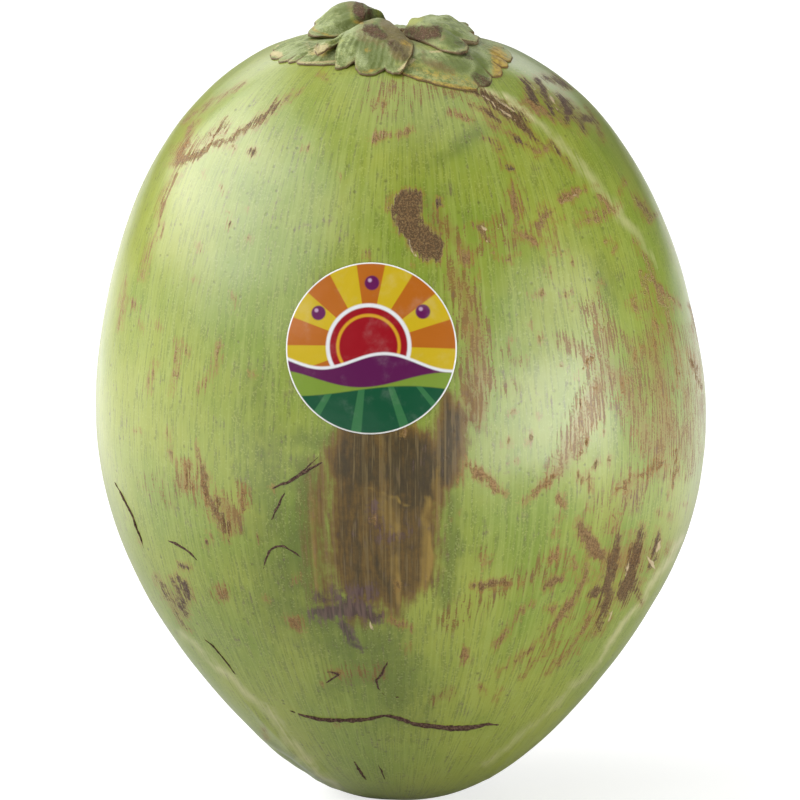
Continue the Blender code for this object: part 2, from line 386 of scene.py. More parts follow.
# Cork scuffs: how dark (0 rust, 1 purple black), then the line of one in pixels with its width at each
# place, or the outline of a broad one without widths.
SCUFFS = (
    (0.25, ((173, 165, 5), (182, 161, 11), (193, 156, 9), (208, 150, 7), (228, 138, 6), (246, 128, 8),
            (262, 119, 3))),
    (0.20, ((199, 122, 1), (190, 131, 6), (186, 144, 7), (181, 156, 8))),
    (0.45, ((246, 126, 5), (267, 114, 7), (282, 103, 4), (300, 90, 1))),
    (0.35, ((212, 137, 2), (221, 128, 5), (229, 120, 2))),
    (0.30, ((183, 123, 1), (213, 101, 2), (243, 84, 1))),
    (0.15, ((176, 174, 2), (163, 200, 3), (160, 229, 2), (146, 258, 1))),
    (0.55, ((393, 193), (404, 190), (418, 189), (421, 203), (424, 222), (431, 231), (443, 236),
            (444, 250), (441, 266), (423, 259), (408, 244), (396, 229), (390, 212))),
    (0.60, ((455, 86, 2), (480, 93, 8), (501, 107, 12), (521, 124, 10), (533, 136, 4), (541, 144, 1))),
    (0.70, ((468, 104, 2), (491, 115, 3), (506, 123, 1))),
    (0.70, ((488, 92, 1), (516, 110, 3), (530, 122, 1))),
    (0.20, ((487, 120, 1), (500, 128, 4), (512, 135, 3), (526, 146, 2))),
    (0.85, ((508, 133, 3), (518, 140, 5), (529, 147, 3))),
    (0.10, ((529, 148, 3), (541, 152, 4), (547, 149, 3))), (0.90, ((486, 138, 3), (493, 139, 3))),
    (0.90, ((494, 142, 2), (500, 150, 3))), (0.90, ((502, 158, 2), (503, 165, 3))),
    (0.90, ((508, 167, 5), (511, 169, 4))), (0.15, ((449, 113, 3), (460, 114, 6), (472, 121, 2))),
    (0.90, ((522, 78, 5), (529, 88, 9), (533, 97, 9), (537, 107, 6))),
    (0.15, ((524, 100, 5), (533, 106, 10), (543, 110, 7), (552, 118, 3), (561, 124, 2))),
    (0.90, ((537, 79, 5), (545, 96, 9), (550, 108, 9), (555, 117, 3))),
    (0.85, ((544, 78, 4), (555, 80, 8), (563, 84, 6), (571, 88, 2))),
    (0.90, ((557, 92, 4), (564, 103, 10), (568, 112, 9), (566, 123, 4))),
    (0.60, ((554, 100, 1), (560, 114, 2), (564, 124, 1))),
    (0.80, ((577, 118, 3), (586, 119, 8), (594, 122, 5))),
    (0.80, ((581, 124, 5), (584, 129, 5), (585, 134, 2))), (0.60, ((576, 106, 1), (582, 118, 3))),
    (0.60, ((588, 105, 1), (596, 124, 3), (603, 143, 1))),
    (0.70, ((550, 142, 1), (559, 153, 3), (565, 160, 2), (573, 170, 1))),
    (0.10, ((559, 201, 4), (570, 197, 8), (580, 191, 7), (586, 188, 3))),
    (0.15, ((580, 223, 3), (592, 220, 5), (603, 216, 4), (608, 211, 6), (605, 203, 6), (600, 196, 3))),
    (0.10, ((581, 215, 1), (592, 212, 3), (601, 210, 2))), (0.15, ((612, 214, 1), (617, 205, 2))),
    (0.25, ((544, 205, 4), (546, 213, 9), (541, 224, 8), (541, 232, 4), (547, 243, 2))),
    (0.20, ((511, 184, 2), (515, 197, 9), (516, 204, 7), (517, 222, 3))),
    (0.30, ((473, 225, 4), (482, 229, 10), (488, 238, 6), (491, 246, 3))),
    (0.10, ((514, 230, 5), (526, 236, 8), (538, 244, 4))), (0.75, ((436, 203, 6), (440, 202, 4))),
    (0.35, ((509, 258, 5), (510, 262, 3))), (0.20, ((462, 249, 5), (467, 258, 10), (464, 265, 4))),
    (0.40, ((636, 195, 3), (641, 204, 5), (650, 221, 2), (655, 215, 2))),
    (0.20, ((634, 240, 1), (644, 257, 4), (653, 280, 5), (662, 293, 8), (667, 314, 4), (671, 336, 4),
            (680, 384, 2))),
    (0.20, ((662, 291, 3), (673, 299, 3), (679, 306, 1))),
    (0.15, ((642, 274, 1), (651, 301, 3), (661, 330, 2))),
    (0.30, ((688, 303, 1), (694, 320, 4), (699, 340, 2))),
    (0.30, ((687, 348, 1), (694, 368, 4), (701, 388, 2))),
    (0.15, ((552, 476, 5), (544, 484, 8), (536, 492, 6), (525, 502, 2))),
    (0.15, ((577, 474, 5), (582, 481, 5))), (0.15, ((589, 470, 1), (590, 490, 2))),
    (0.10, ((559, 498, 7), (563, 503, 3))), (0.15, ((662, 462, 5), (650, 469, 7), (640, 478, 3))),
    (0.20, ((634, 478, 4), (624, 486, 7), (615, 494, 3))),
    (0.20, ((676, 453, 4), (675, 473, 6), (671, 495, 2))), (0.15, ((612, 514, 2), (616, 531, 4))),
    (0.30, ((577, 522, 4), (583, 530, 11), (590, 543, 16), (597, 553, 14), (602, 561, 4))),
    (0.58, ((621, 534, 6), (616, 548, 11), (611, 566, 10), (608, 588, 12), (604, 610, 8), (598, 632, 3))),
    (0.62, ((589, 597, 2), (596, 593, 9), (604, 588, 9))), (0.20, ((594, 571, 1), (599, 580, 2))),
    (0.58, ((643, 524, 3), (639, 540, 9), (634, 560, 12), (631, 577, 17), (625, 592, 13), (622, 606, 4))),
    (0.60, ((633, 582, 7), (638, 594, 5), (640, 602, 2))),
    (0.70, ((655, 530, 2), (657, 544, 5), (655, 560, 6), (650, 570, 3))),
    (0.25, ((587, 560, 3), (584, 580, 6), (575, 597, 7), (562, 613, 8), (552, 628, 6), (545, 636, 4))),
    (0.25, ((545, 636, 3), (527, 652, 1), (497, 675, 2))),
    (0.20, ((590, 613, 3), (584, 628, 6), (576, 641, 4), (562, 656, 1), (545, 674, 1))),
    (0.20, ((560, 642, 1), (543, 656, 2), (520, 678, 1))),
    (0.30, ((543, 588, 4), (551, 584, 8), (559, 580, 7), (565, 577, 3))),
    (0.10, ((550, 559, 5), (558, 552, 5))),
    (0.35, ((472, 587, 3), (483, 585, 9), (493, 582, 10), (503, 579, 4))),
    (0.10, ((573, 557, 3), (575, 568, 5))),
    (0.20, ((531, 601, 1), (517, 616, 3), (506, 634, 7), (494, 646, 4))),
    (0.10, ((550, 610, 6), (554, 608, 3))), (0.15, ((466, 652, 5), (465, 661, 4))),
    (0.20, ((483, 690, 6), (484, 695, 3))),
    (0.05, ((469, 466, 5), (479, 474, 9), (489, 482, 8), (499, 492, 6), (504, 494, 2))),
    (0.30, ((188, 464, 3), (190, 478, 6), (188, 490, 3))),
    (0.30, ((172, 452, 1), (176, 462, 2), (182, 470, 1))),
    (0.30, ((197, 446, 1), (201, 470, 4), (206, 492, 7), (216, 514, 8), (229, 539, 3))),
    (0.45, ((218, 490, 2), (222, 504, 6), (223, 516, 7), (229, 540, 3))),
    (0.20, ((242, 490, 4), (243, 508, 6))),
    (0.95, ((170, 578, 2), (176, 590, 7), (182, 604, 6), (186, 618, 1))),
    (1.00, ((177, 574, 2), (182, 584, 7), (189, 598, 4))),
    (1.00, ((178, 596, 4), (184, 604, 7), (188, 616, 2))), (1.00, ((180, 566, 5), (187, 567, 5))),
    (0.90, ((156, 575, 1), (166, 592, 3), (176, 612, 2), (186, 628, 1))),
    (0.20, ((289, 618, 5), (296, 623, 12), (301, 630, 5))),
    (0.15, ((125, 282, 1), (122, 306, 2), (120, 330, 1))), (0.15, ((155, 362, 2), (149, 393, 1))),
    (0.15, ((179, 341, 1), (176, 362, 2), (172, 393, 1))),
    (0.15, ((216, 344, 1), (218, 365, 2), (200, 393, 1))), (0.15, ((149, 255, 1), (143, 279, 2))),
    (0.50, ((253, 150, 3), (254, 153, 3))), (0.50, ((304, 146, 3), (305, 148, 3))),
    (0.50, ((322, 76, 3), (324, 77, 3))), (0.20, ((221, 590, 8), (224, 598, 6))),
    (0.20, ((392, 620, 5), (412, 628, 4))), (0.20, ((330, 672, 3), (338, 674, 4))),
    (0.20, ((372, 137, 5), (392, 135, 3), (411, 129, 5))),
)
# Pale slivers of dry fibre torn up in the scuffs: places and widths.
SLIVERS = (
    ((659, 543, 2), (660, 549, 4), (657, 552, 2)), ((648, 556, 2), (652, 563, 5), (655, 568, 3)),
    ((628, 562, 3), (627, 570, 4), (625, 574, 2)), ((613, 602, 1), (611, 612, 2), (608, 622, 1)),
    ((371, 621, 2), (373, 627, 3)), ((530, 84, 1), (536, 92, 2)),
    ((545, 84, 1), (552, 98, 2), (558, 112, 1)), ((482, 226, 1), (487, 228, 3)),
    ((487, 240, 2), (490, 244, 2)), ((499, 226, 2), (502, 224, 2)), ((516, 233, 1), (523, 235, 3)),
    ((409, 240, 1), (414, 252, 3), (420, 257, 2)), ((592, 214, 1), (599, 212, 2)),
    ((480, 95, 1), (500, 108, 2), (518, 124, 1)), ((494, 96, 1), (514, 112, 2)),
    ((566, 200, 1), (578, 195, 2)),
)
# Rust coloured speckle: strength, how softly it fades in pixels, then places and widths, or an outline.
SPECKLE = (
    (0.95, 12, ((600, 384, 20), (590, 410, 28), (578, 432, 24), (560, 466, 14), (545, 484, 8))),
    (0.75, 18, ((618, 372, 30), (640, 410, 30), (650, 452, 24))),
    (0.8, 14, ((592, 306, 14), (604, 332, 24), (606, 366, 18))),
    (0.6, 16, ((626, 340, 14), (640, 372, 20))),
    (0.9, 12, ((563, 340, 8), (581, 350, 10), (601, 371, 12), (619, 379, 12), (634, 388, 10))),
    (0.95, 16, ((650, 340, 12), (660, 390, 26), (667, 430, 28), (656, 472, 12))),
    (0.8, 12, ((672, 330, 8), (686, 400, 14), (684, 460, 12))),
    (0.6, 14, ((640, 300, 8), (656, 330, 12))), (0.5, 12, ((521, 363, 8), (505, 350, 8))),
    (0.5, 12, ((510, 388, 9),)),
    (0.95, 15, ((452, 270, 12), (466, 300, 22), (474, 340, 26), (478, 380, 26), (476, 410, 22))),
    (0.7, 8, ((178, 152, 12), (205, 143, 10), (225, 132, 6))), (0.5, 12, ((296, 626, 14),)),
    (0.8, 10, ((221, 593, 12),)), (1.0, 7, ((186, 468, 14), (184, 482, 16), (185, 490, 10))),
    (0.7, 14, ((190, 480, 14), (205, 500, 14), (232, 515, 18))),
    (1.0, 8, ((226, 500, 12), (232, 516, 22), (232, 530, 14))),
    (0.8, 8, ((240, 488, 10), (244, 504, 12))), (0.4, 16, ((150, 480, 14), (165, 500, 14))),
    (0.8, 10, ((612, 560, 24), (630, 560, 30), (648, 556, 12))),
    (0.6, 12, ((470, 235, 12), (500, 240, 14), (540, 236, 14))),
    (0.7, 12, ((512, 190, 8), (518, 210, 10))), (0.5, 12, ((330, 672, 10), (385, 672, 10))),
    (0.5, 20, ((560, 560, 14), (500, 590, 14), (450, 620, 14))),
    (0.7, 14, ((690, 330, 10), (698, 400, 14), (688, 470, 12))),
    (0.7, 6, ((385, 62, 3), (470, 100, 6), (540, 156, 3))), (0.5, 18, ((640, 480, 30), (600, 520, 30))),
    (0.6, 8, ((436, 700, 8), (450, 696, 10))), (0.5, 10, ((485, 556, 14),)), (0.5, 10, ((553, 556, 12),)),
    (0.4, 20, ((540, 660, 20), (600, 610, 20))), (0.5, 20, ((380, 100, 30), (430, 84, 20))),
    (0.6, 10, ((440, 215, 14), (470, 262, 14), (520, 196, 10))),
)
# The bruise, in the same way, then where it is golden and purple, and where the green is darker: partly the
# rind's own deep green beside the bruise, partly painted shade down the dark middle, at the foot beyond the
# ridges and towards the bottom.
BRUISE = (
    (1.00, 20, ((326, 450), (338, 434), (352, 420), (384, 422), (392, 470), (384, 496), (350, 496),
            (328, 478))),
    (1.00, 16, ((376, 420), (400, 424), (430, 432), (448, 458), (444, 504), (412, 522), (384, 508),
            (374, 470))),
    (0.80, 18, ((330, 474), (380, 470), (442, 486), (440, 540), (436, 586), (408, 606), (352, 612),
            (326, 560))),
    (1.00, 13, ((350, 480, 20), (356, 530, 18), (360, 588, 20))),
    (1.00, 12, ((374, 556, 20), (392, 600, 18))), (0.95, 12, ((404, 496, 16), (412, 560, 14))),
    (0.62, 22, ((322, 470, 30), (316, 540, 30), (326, 600, 30))),
    (1.00, 14, ((446, 400, 14), (452, 420, 30), (448, 448, 34), (444, 476, 26))),
    (0.62, 14, ((464, 440, 20), (458, 476, 16))), (0.50, 16, ((468, 376, 20), (476, 420, 26))),
    (0.70, 16, ((356, 616, 24), (396, 612, 14))),
)
GOLD = (
    (1.0, 4, ((430, 536, 5), (430, 556, 9), (427, 582, 6))), (0.8, 6, ((426, 500, 10), (424, 590, 12))),
    (0.8, 3, ((361, 485, 2), (384, 493, 4), (409, 506, 3))), (0.6, 8, ((384, 506, 24), (394, 532, 20))),
    (0.6, 6, ((394, 560, 12), (398, 600, 10))), (0.7, 6, ((438, 470, 9), (436, 530, 7))),
    (0.5, 8, ((470, 385, 24), (478, 420, 24))), (0.7, 7, ((314, 500, 10), (316, 590, 10))),
)
PURPLE = (
    (0.9, 8, ((312, 613, 10), (335, 611, 14), (360, 610, 18), (380, 618, 12))),
    (0.9, 6, ((343, 626, 8), (352, 636, 12), (360, 650, 5))), (0.6, 10, ((318, 598, 14), (360, 594, 20))),
    (0.6, 10, ((374, 510, 14), (386, 540, 14), (408, 534, 8))), (0.5, 10, ((350, 590, 20), (370, 596, 20))),
)
# Darker green: partly the rind's own colour, partly painted shade.
DEEP_GREEN_AND_PAINTED_SHADE = (
    (0.80, 50, ((262, 440, 40), (290, 600, 70), (380, 650, 90), (400, 700, 80))),
    (0.55, 60, ((420, 110, 60), (430, 240, 40))),
    (1.0, 26, ((306, 470, 30), (300, 550, 44), (312, 600, 30))),
    (1.0, 22, ((450, 480, 12), (452, 540, 20), (444, 600, 16))),
    (0.9, 20, ((300, 440, 20), (330, 440, 20))),
    (0.8, 8, ((250, 726, 4), (280, 750, 10), (310, 772, 12), (336, 787, 6))),
    (0.6, 8, ((536, 750, 6), (508, 780, 8))),
    (0.75, 40, ((258, 380, 20), (262, 480, 30), (282, 600, 40))),
    (0.7, 18, ((340, 640, 20), (400, 630, 20))), (0.7, 18, ((480, 130, 20), (440, 160, 20))),
    (0.6, 20, ((612, 300, 30), (600, 260, 20))), (0.6, 20, ((380, 660, 30), (330, 690, 30))),
)
# Pale lines along the ridges: a worn pale crest near the cap, and painted highlights along the rest of the
# ridges where they catch the light. Strength, how softly they fade, places and widths.
PALE_CRESTS_AND_HIGHLIGHTS = (
    (1.0, 4, ((482, 88, 3), (500, 96, 8), (512, 103, 8), (530, 116, 5), (545, 130, 2))),
    (0.6, 5, ((540, 125, 6), (573, 156, 8), (598, 186, 8), (623, 219, 8), (640, 239, 6), (656, 264, 4))),
    (0.8, 3, ((683, 535, 4), (671, 556, 6), (659, 574, 6), (636, 608, 5), (618, 631, 5), (600, 660, 3))),
    (0.5, 4, ((600, 660, 4), (579, 681, 5), (547, 712, 5), (517, 739, 5), (485, 765, 4))),
    (0.7, 4, ((180, 631, 4), (238, 686, 6), (273, 717, 6), (301, 754, 6), (339, 787, 6))),
)


def strayed(seen, reach, pitch, seed):
    """These pixels pushed about by smooth noise, so that what is measured from them has natural edges."""
    moved = seen.copy()
    for k in np.flatnonzero(seen[:, 0] > UNSEEN):
        spot = Vector((seen[k, 0] / pitch, seen[k, 1] / pitch, seed))
        moved[k, 0] += reach * noise_of(spot)
        moved[k, 1] += reach * noise_of(spot + Vector((0.0, 0.0, 7.3)))
    return moved


# Reach and pitch of the straying in pixels, and its seed, coarse and then fine.
NEAR_STRAY = ((3.4, 17.0, 0.0), (1.8, 6.0, 3.0))
FAR_STRAY = ((5.0, 22.0, 1.0), (2.4, 8.0, 4.0))
for reach, pitch, seed in NEAR_STRAY:
    skin_seen = strayed(skin_seen, reach, pitch, seed)
scuff_depth = np.full(len(skin_points), -DEEPEST)
scuff_dark = np.full(len(skin_points), 0.4)


def add_scuff(seen, dark, points):
    """Adds one scuff, and keeps how dark it is where it is the nearest."""
    depth = np.clip(depth_of(seen, points) * MM_PIXEL, -DEEPEST, DEEPEST)
    nearer = depth > scuff_depth
    scuff_depth[nearer] = depth[nearer]
    scuff_dark[nearer] = dark


for dark, points in SCUFFS:
    add_scuff(skin_seen, dark, points)

# Small rust flecks, thickest on the right of the fruit, and on the far side, which the photograph doesn't
# show, marks of the same kinds: all scattered by a fixed draw.
RIGHT_FLECKS, LEFT_FLECKS, FAR_MARKS, FAR_RUSTS = 110, 50, 70, 22
# Where the hidden side begins on both sides of the front, and where its marks lie, in radians round the
# fruit.
FAR_FROM = 1.35
FAR_SIDE = (1.4, 4.9)
draw = random.Random(7)
for _ in range(RIGHT_FLECKS):
    x, y = draw.triangular(430.0, 700.0, 640.0), draw.uniform(170.0, 720.0)
    length, wide = draw.choice((1.0, 2.0, 5.0, 10.0)), draw.uniform(0.6, 2.4)
    dark = draw.uniform(0.0, 0.45)
    add_scuff(skin_seen, dark, ((x, y, wide), (x - 0.6 * length, y + length, 0.4 * wide)))
for _ in range(LEFT_FLECKS):
    x, y = draw.uniform(130.0, 430.0), draw.uniform(100.0, 760.0)
    add_scuff(skin_seen, draw.uniform(0.0, 0.6), ((x, y, 1.4), (x + 1.0, y + draw.uniform(0.5, 8.0), 0.4)))
far_seen = np.where((np.abs(around) > FAR_FROM)[:, None], unrolled, UNSEEN)
for reach, pitch, seed in FAR_STRAY:
    far_seen = strayed(far_seen, reach, pitch, seed)
for _ in range(FAR_MARKS):
    x, y = draw.uniform(*FAR_SIDE) * GIRTH_PIXELS, draw.uniform(150.0, 960.0)
    lean_to, length = draw.uniform(-0.9, 0.9), draw.choice((8.0, 14.0, 24.0, 40.0))
    wide = draw.uniform(6.0, 16.0)
    bends = [(x + lean_to * length * k / 3 + draw.uniform(-2, 2), y + length * k / 3) for k in range(4)]
    points = [(*bend, wide * part) for bend, part in zip(bends, (0.3, 1.0, 0.9, 0.2))]
    add_scuff(far_seen, draw.uniform(0.1, 0.9), points)


def stain(areas):
    """0 to 1 by how far inside these soft strokes and outlines each point of the skin is."""
    amount = np.zeros(len(skin_points))
    for strength, fade, points in areas:
        amount = np.maximum(amount, strength * soft_part(depth_of(skin_seen, points), fade))
    return amount


speckle = stain(SPECKLE)
for _ in range(FAR_RUSTS):
    x, y = draw.uniform(*FAR_SIDE) * GIRTH_PIXELS, draw.uniform(200.0, 900.0)
    points = ((x, y, 20.0), (x + draw.uniform(-40, 40), y + draw.uniform(10, 80), 12.0))
    speckle = np.maximum(speckle, 0.8 * soft_part(depth_of(far_seen, points), 18))

sliver = np.full(len(skin_points), -1.0)
for points in SLIVERS:
    sliver = np.maximum(sliver, depth_of(skin_seen, points) * MM_PIXEL)

add_attribute(husk.data, "scuff", scuff_depth)
add_attribute(husk.data, "scuff_dark", scuff_dark)
add_attribute(husk.data, "sliver", sliver)
add_attribute(husk.data, "speckle", speckle)
add_attribute(husk.data, "bruise", stain(BRUISE))
add_attribute(husk.data, "gold", stain(GOLD))
add_attribute(husk.data, "purple", stain(PURPLE))
add_attribute(husk.data, "lush", stain(DEEP_GREEN_AND_PAINTED_SHADE))
add_attribute(husk.data, "pale", stain(PALE_CRESTS_AND_HIGHLIGHTS))


# Rind finish: yellow green skin with paler fibre lines and a waxy gloss. The marks above lie in it as rust,
# bruised skin and dull cork, and lose the gloss. Each blend lays its last colour over the one before.
def start_material(material, **settings):
    """Clears a material to one Principled shader with these settings, and gives its tree and shader."""
    material.use_nodes = True
    tree = material.node_tree
    tree.nodes.clear()
    shader = new_node(tree, "ShaderNodeBsdfPrincipled", **settings)
    leave = tree.nodes.new("ShaderNodeOutputMaterial")
    tree.links.new(shader.outputs[0], leave.inputs[0])
    return tree, shader


def attribute(tree, name, output="Fac"):
    """A value kept on the mesh."""
    made = tree.nodes.new("ShaderNodeAttribute")
    made.attribute_name = name
    return Field(made.outputs[output])


def noise(tree, vector, scale, detail=3.0, roughness=0.55, stretch=(1.0, 1.0, 1.0)):
    """Noise around 0.5, on a vector that may be stretched."""
    mapped = new_node(tree, "ShaderNodeMapping", Vector=vector, Scale=stretch)
    made = new_node(tree, "ShaderNodeTexNoise", Vector=mapped.outputs[0], Scale=scale, Detail=detail)
    made.inputs["Roughness"].default_value = roughness
    return Field(made.outputs[0])


def dress(tree, shader, colour, relief, strength):
    """Ends a material with its colour, and a bump from its relief in mm."""
    tree.links.new(colour, shader.inputs["Base Color"])
    bump = new_node(tree, "ShaderNodeBump", Strength=strength, Distance=0.001, Height=relief)
    tree.links.new(bump.outputs[0], shader.inputs["Normal"])


def ramp(value, low, high):
    """0 at low and 1 at high, with an even curve between."""
    tree = value.socket.id_data
    made = new_node(tree, "ShaderNodeMapRange", Value=value, From_Min=low, From_Max=high)
    made.interpolation_type = "SMOOTHSTEP"
    return Field(made.outputs[0])


def blend(tree, part, first, second):
    """Mixes two colours."""
    made = tree.nodes.new("ShaderNodeMix")
    made.data_type = "RGBA"
    for label, value in (("Factor", part), ("A", first), ("B", second)):
        place = [item for item in made.inputs if item.name == label and item.enabled][0]
        if isinstance(value, Field):
            value = value.socket
        if isinstance(value, bpy.types.NodeSocket):
            tree.links.new(value, place)
        else:
            place.default_value = (*value, 1.0) if isinstance(value, tuple) else value
    return [item for item in made.outputs if item.enabled][0]


# Dry cork, which the healed scuffs, the scars of the cap, the stub of the stalk and the cracks share.
dry_cork = bpy.data.node_groups.new("dry_cork", "ShaderNodeTree")
dry_cork.interface.new_socket("Vector", in_out="INPUT", socket_type="NodeSocketVector")
dry_cork.interface.new_socket("Dark", in_out="INPUT", socket_type="NodeSocketFloat")
dry_cork.interface.new_socket("Color", in_out="OUTPUT", socket_type="NodeSocketColor")
dry_cork.interface.new_socket("Height", in_out="OUTPUT", socket_type="NodeSocketFloat")
cork_in = dry_cork.nodes.new("NodeGroupInput").outputs
cork_out = dry_cork.nodes.new("NodeGroupOutput").inputs
dark = Field(cork_in["Dark"])
dots = noise(dry_cork, cork_in["Vector"], 1900.0, 2.0, 0.6)
grit = noise(dry_cork, cork_in["Vector"], 3000.0, 1.0, 0.5)
cork_light = blend(dry_cork, ramp(dots, 0.38, 0.60), (0.170, 0.078, 0.018), (0.340, 0.200, 0.070))
cork_brown = blend(dry_cork, ramp(dots, 0.42, 0.66), (0.060, 0.026, 0.006), (0.160, 0.085, 0.026))
cork_dark = blend(dry_cork, ramp(dots, 0.42, 0.66), (0.038, 0.015, 0.010), (0.120, 0.068, 0.048))
cork = blend(dry_cork, ramp(dark, 0.05, 0.55), cork_light, cork_brown)
cork = blend(dry_cork, ramp(dark, 0.55, 0.90), cork, cork_dark)
cork = blend(dry_cork, ramp(grit, 0.52, 0.68) * (-dark * 0.35 + 0.55), cork, (0.390, 0.265, 0.110))
dry_cork.links.new(cork, cork_out["Color"])
dry_cork.links.new((dots * 0.22 + grit * 0.10).socket, cork_out["Height"])


def corked(tree, vector, dark):
    """Uses the shared cork in a material: its colour and its height."""
    made = tree.nodes.new("ShaderNodeGroup")
    made.node_tree = dry_cork
    tree.links.new(vector, made.inputs["Vector"])
    if isinstance(dark, Field):
        tree.links.new(dark.socket, made.inputs["Dark"])
    else:
        made.inputs["Dark"].default_value = dark
    return made.outputs["Color"], Field(made.outputs["Height"])


tree, shader = start_material(rind, Coat_Weight=0.5, Coat_Roughness=0.27, Specular_IOR_Level=0.5)
spot = tree.nodes.new("ShaderNodeTexCoord").outputs["Object"]
grain = attribute(tree, "grain", "Vector").socket
fibre = noise(tree, grain, 2600.0, 2.0, 0.6, (1.0, 1.0, 0.022))
broad_fibre = noise(tree, grain, 800.0, 3.0, 0.65, (1.0, 1.0, 0.05))
cloud = noise(tree, spot, 24.0, 5.0, 0.6)
patch = noise(tree, spot, 150.0, 4.0, 0.65)
fine = noise(tree, spot, 620.0, 4.0, 0.7)
grit = noise(tree, grain, 3000.0, 1.0, 0.5, (1.0, 1.0, 0.6))
dots = noise(tree, spot, 1900.0, 2.0, 0.6)

# Healthy rind: green with yellower clouds, pale fibre lines, and tiny dark pores. Darker green laid over it
# is partly the rind's own colour and partly painted shade; pale ridge lines are partly a worn crest and
# partly painted highlight.
colour = blend(tree, ramp(cloud, 0.34, 0.66), (0.205, 0.285, 0.028), (0.310, 0.350, 0.044))
colour = blend(tree, ramp(patch, 0.50, 0.72) * 0.30, colour, (0.330, 0.400, 0.085))
# Darker green: partly the rind's own colour, partly painted shade over the middle, the foot and the bottom.
deeper = attribute(tree, "lush") + (patch - 0.5) * 0.9 + (broad_fibre - 0.5) * 0.2 + (grit - 0.5) * 0.4
lush = ramp(deeper, 0.1, 1.0)
colour = blend(tree, ramp(broad_fibre, 0.50, 0.75) * 0.06, colour, (0.150, 0.210, 0.018))
lines = ramp(fibre + (patch - 0.5) * 0.2, 0.44, 0.64)
colour = blend(tree, lines * 0.26, colour, (0.400, 0.460, 0.115))
colour = blend(tree, lush * 0.80, colour, (0.088, 0.125, 0.008))
colour = blend(tree, ramp(grit, 0.50, 0.64) * 0.42, colour, (0.110, 0.150, 0.012))
colour = blend(tree, ramp(dots + (grit - 0.5) * 0.5, 0.56, 0.70) * 0.34, colour, (0.480, 0.520, 0.150))
pores = new_node(tree, "ShaderNodeTexVoronoi", Vector=spot, Scale=330.0)
pore = -ramp(Field(pores.outputs["Distance"]) + (fine - 0.5) * 0.25, 0.06, 0.20) + 1.0
colour = blend(tree, pore * ramp(patch, 0.42, 0.60) * 0.6, colour, (0.090, 0.085, 0.012))
# Pale ridge lines: a worn crest near the cap, and painted highlight along the rest of the ridges.
crest = attribute(tree, "pale") * (fibre * 1.1 + 0.35) * ramp(patch + broad_fibre, 0.70, 1.05)
colour = blend(tree, crest.step("MINIMUM", 1.0), colour, (0.600, 0.570, 0.290))

# Rust: an ochre wash that breaks up into grains.
rusty = attribute(tree, "speckle")
spread = rusty + (patch - 0.5) * 1.5 + (fine - 0.5) * 0.7
colour = blend(tree, ramp(spread, 0.15, 0.95) * 0.68, colour, (0.265, 0.175, 0.036))
grains = ramp((grit - 0.5) * 4.2 + (dots - 0.5) * 3.0 + spread * 0.7, 0.30, 0.80) * ramp(rusty, 0.02, 0.25)
rust_grit = ramp(grit + (dots - 0.5) * 0.8, 0.40, 0.66)
rust = blend(tree, rust_grit, (0.330, 0.205, 0.048), (0.195, 0.095, 0.014))
colour = blend(tree, grains * 0.82, colour, rust)

# Bruise: brown skin with green left in it, golden or purple in places, and bright fibre lines over it.
worn = attribute(tree, "bruise") * 1.5 + (broad_fibre - 0.5) * 0.4 + (fine - 0.5) * 0.7
worn = worn + (patch - 0.5) * 0.5 + (grit - 0.5) * 0.9 + (fibre - 0.5) * 0.3
bruised = ramp(worn, 0.15, 1.05)
skin_brown = blend(tree, ramp(worn, 0.80, 1.60), (0.145, 0.070, 0.008), (0.034, 0.013, 0.002))
golden = attribute(tree, "gold") + (broad_fibre - 0.5) * 1.2 + (fibre - 0.5) * 0.6
skin_brown = blend(tree, ramp(golden, 0.25, 1.0) * 0.85, skin_brown, (0.340, 0.215, 0.040))
bright_lines = ramp(fibre + (grit - 0.5) * 0.5, 0.50, 0.66)
skin_brown = blend(tree, bright_lines * 0.40, skin_brown, (0.270, 0.180, 0.060))
colour = blend(tree, bruised * 0.95, colour, skin_brown)
plum = attribute(tree, "purple") + (fine - 0.5) * 1.2 + (patch - 0.5) * 1.1 + (grit - 0.5) * 1.0
plum_skin = blend(tree, ramp(grit, 0.35, 0.65), (0.052, 0.021, 0.026), (0.130, 0.075, 0.066))
colour = blend(tree, ramp(plum, 0.15, 0.75) * 0.88, colour, plum_skin)

# Scuffs: an amber edge of stained skin that breaks up into grains, round a core of cork, with torn slivers.
scuff = attribute(tree, "scuff") + (fine - 0.5) * 2.6 + (patch - 0.5) * 1.4 + (broad_fibre - 0.5) * 1.2
halo = ramp(scuff + (grit - 0.5) * 4.0 + (dots - 0.5) * 2.5, -1.1, 0.2)
colour = blend(tree, halo * 0.62, colour, (0.300, 0.165, 0.026))
core = ramp(scuff + (grit - 0.5) * 2.6 + (dots - 0.5) * 1.6, -0.15, 0.65)
cork, cork_height = corked(tree, spot, attribute(tree, "scuff_dark"))
colour = blend(tree, core * ramp(patch, 0.12, 0.44) * 0.95, colour, cork)
torn = ramp(attribute(tree, "sliver") + (fine - 0.5) * 0.9 + (fibre - 0.5) * 0.6, -0.10, 0.15)
colour = blend(tree, torn * 0.85, colour, (0.640, 0.500, 0.290))
dull = core * 0.34 + grains * 0.16 + bruised * 0.04 + lines * 0.07 + 0.30
tree.links.new(dull.socket, shader.inputs["Roughness"])
relief = fibre * 0.028 + broad_fibre * 0.02 + fine * 0.03 + core * (cork_height + 0.08)
relief = relief + grains * 0.04 + torn * 0.25
dress(tree, shader, colour, relief - pore * 0.05, 0.7)
coat = -(core * 0.8 + grains * 0.4 + bruised * 0.45) + 1.0
tree.links.new((coat.step("MAXIMUM", 0.0) * 0.5).socket, shader.inputs["Coat Weight"])


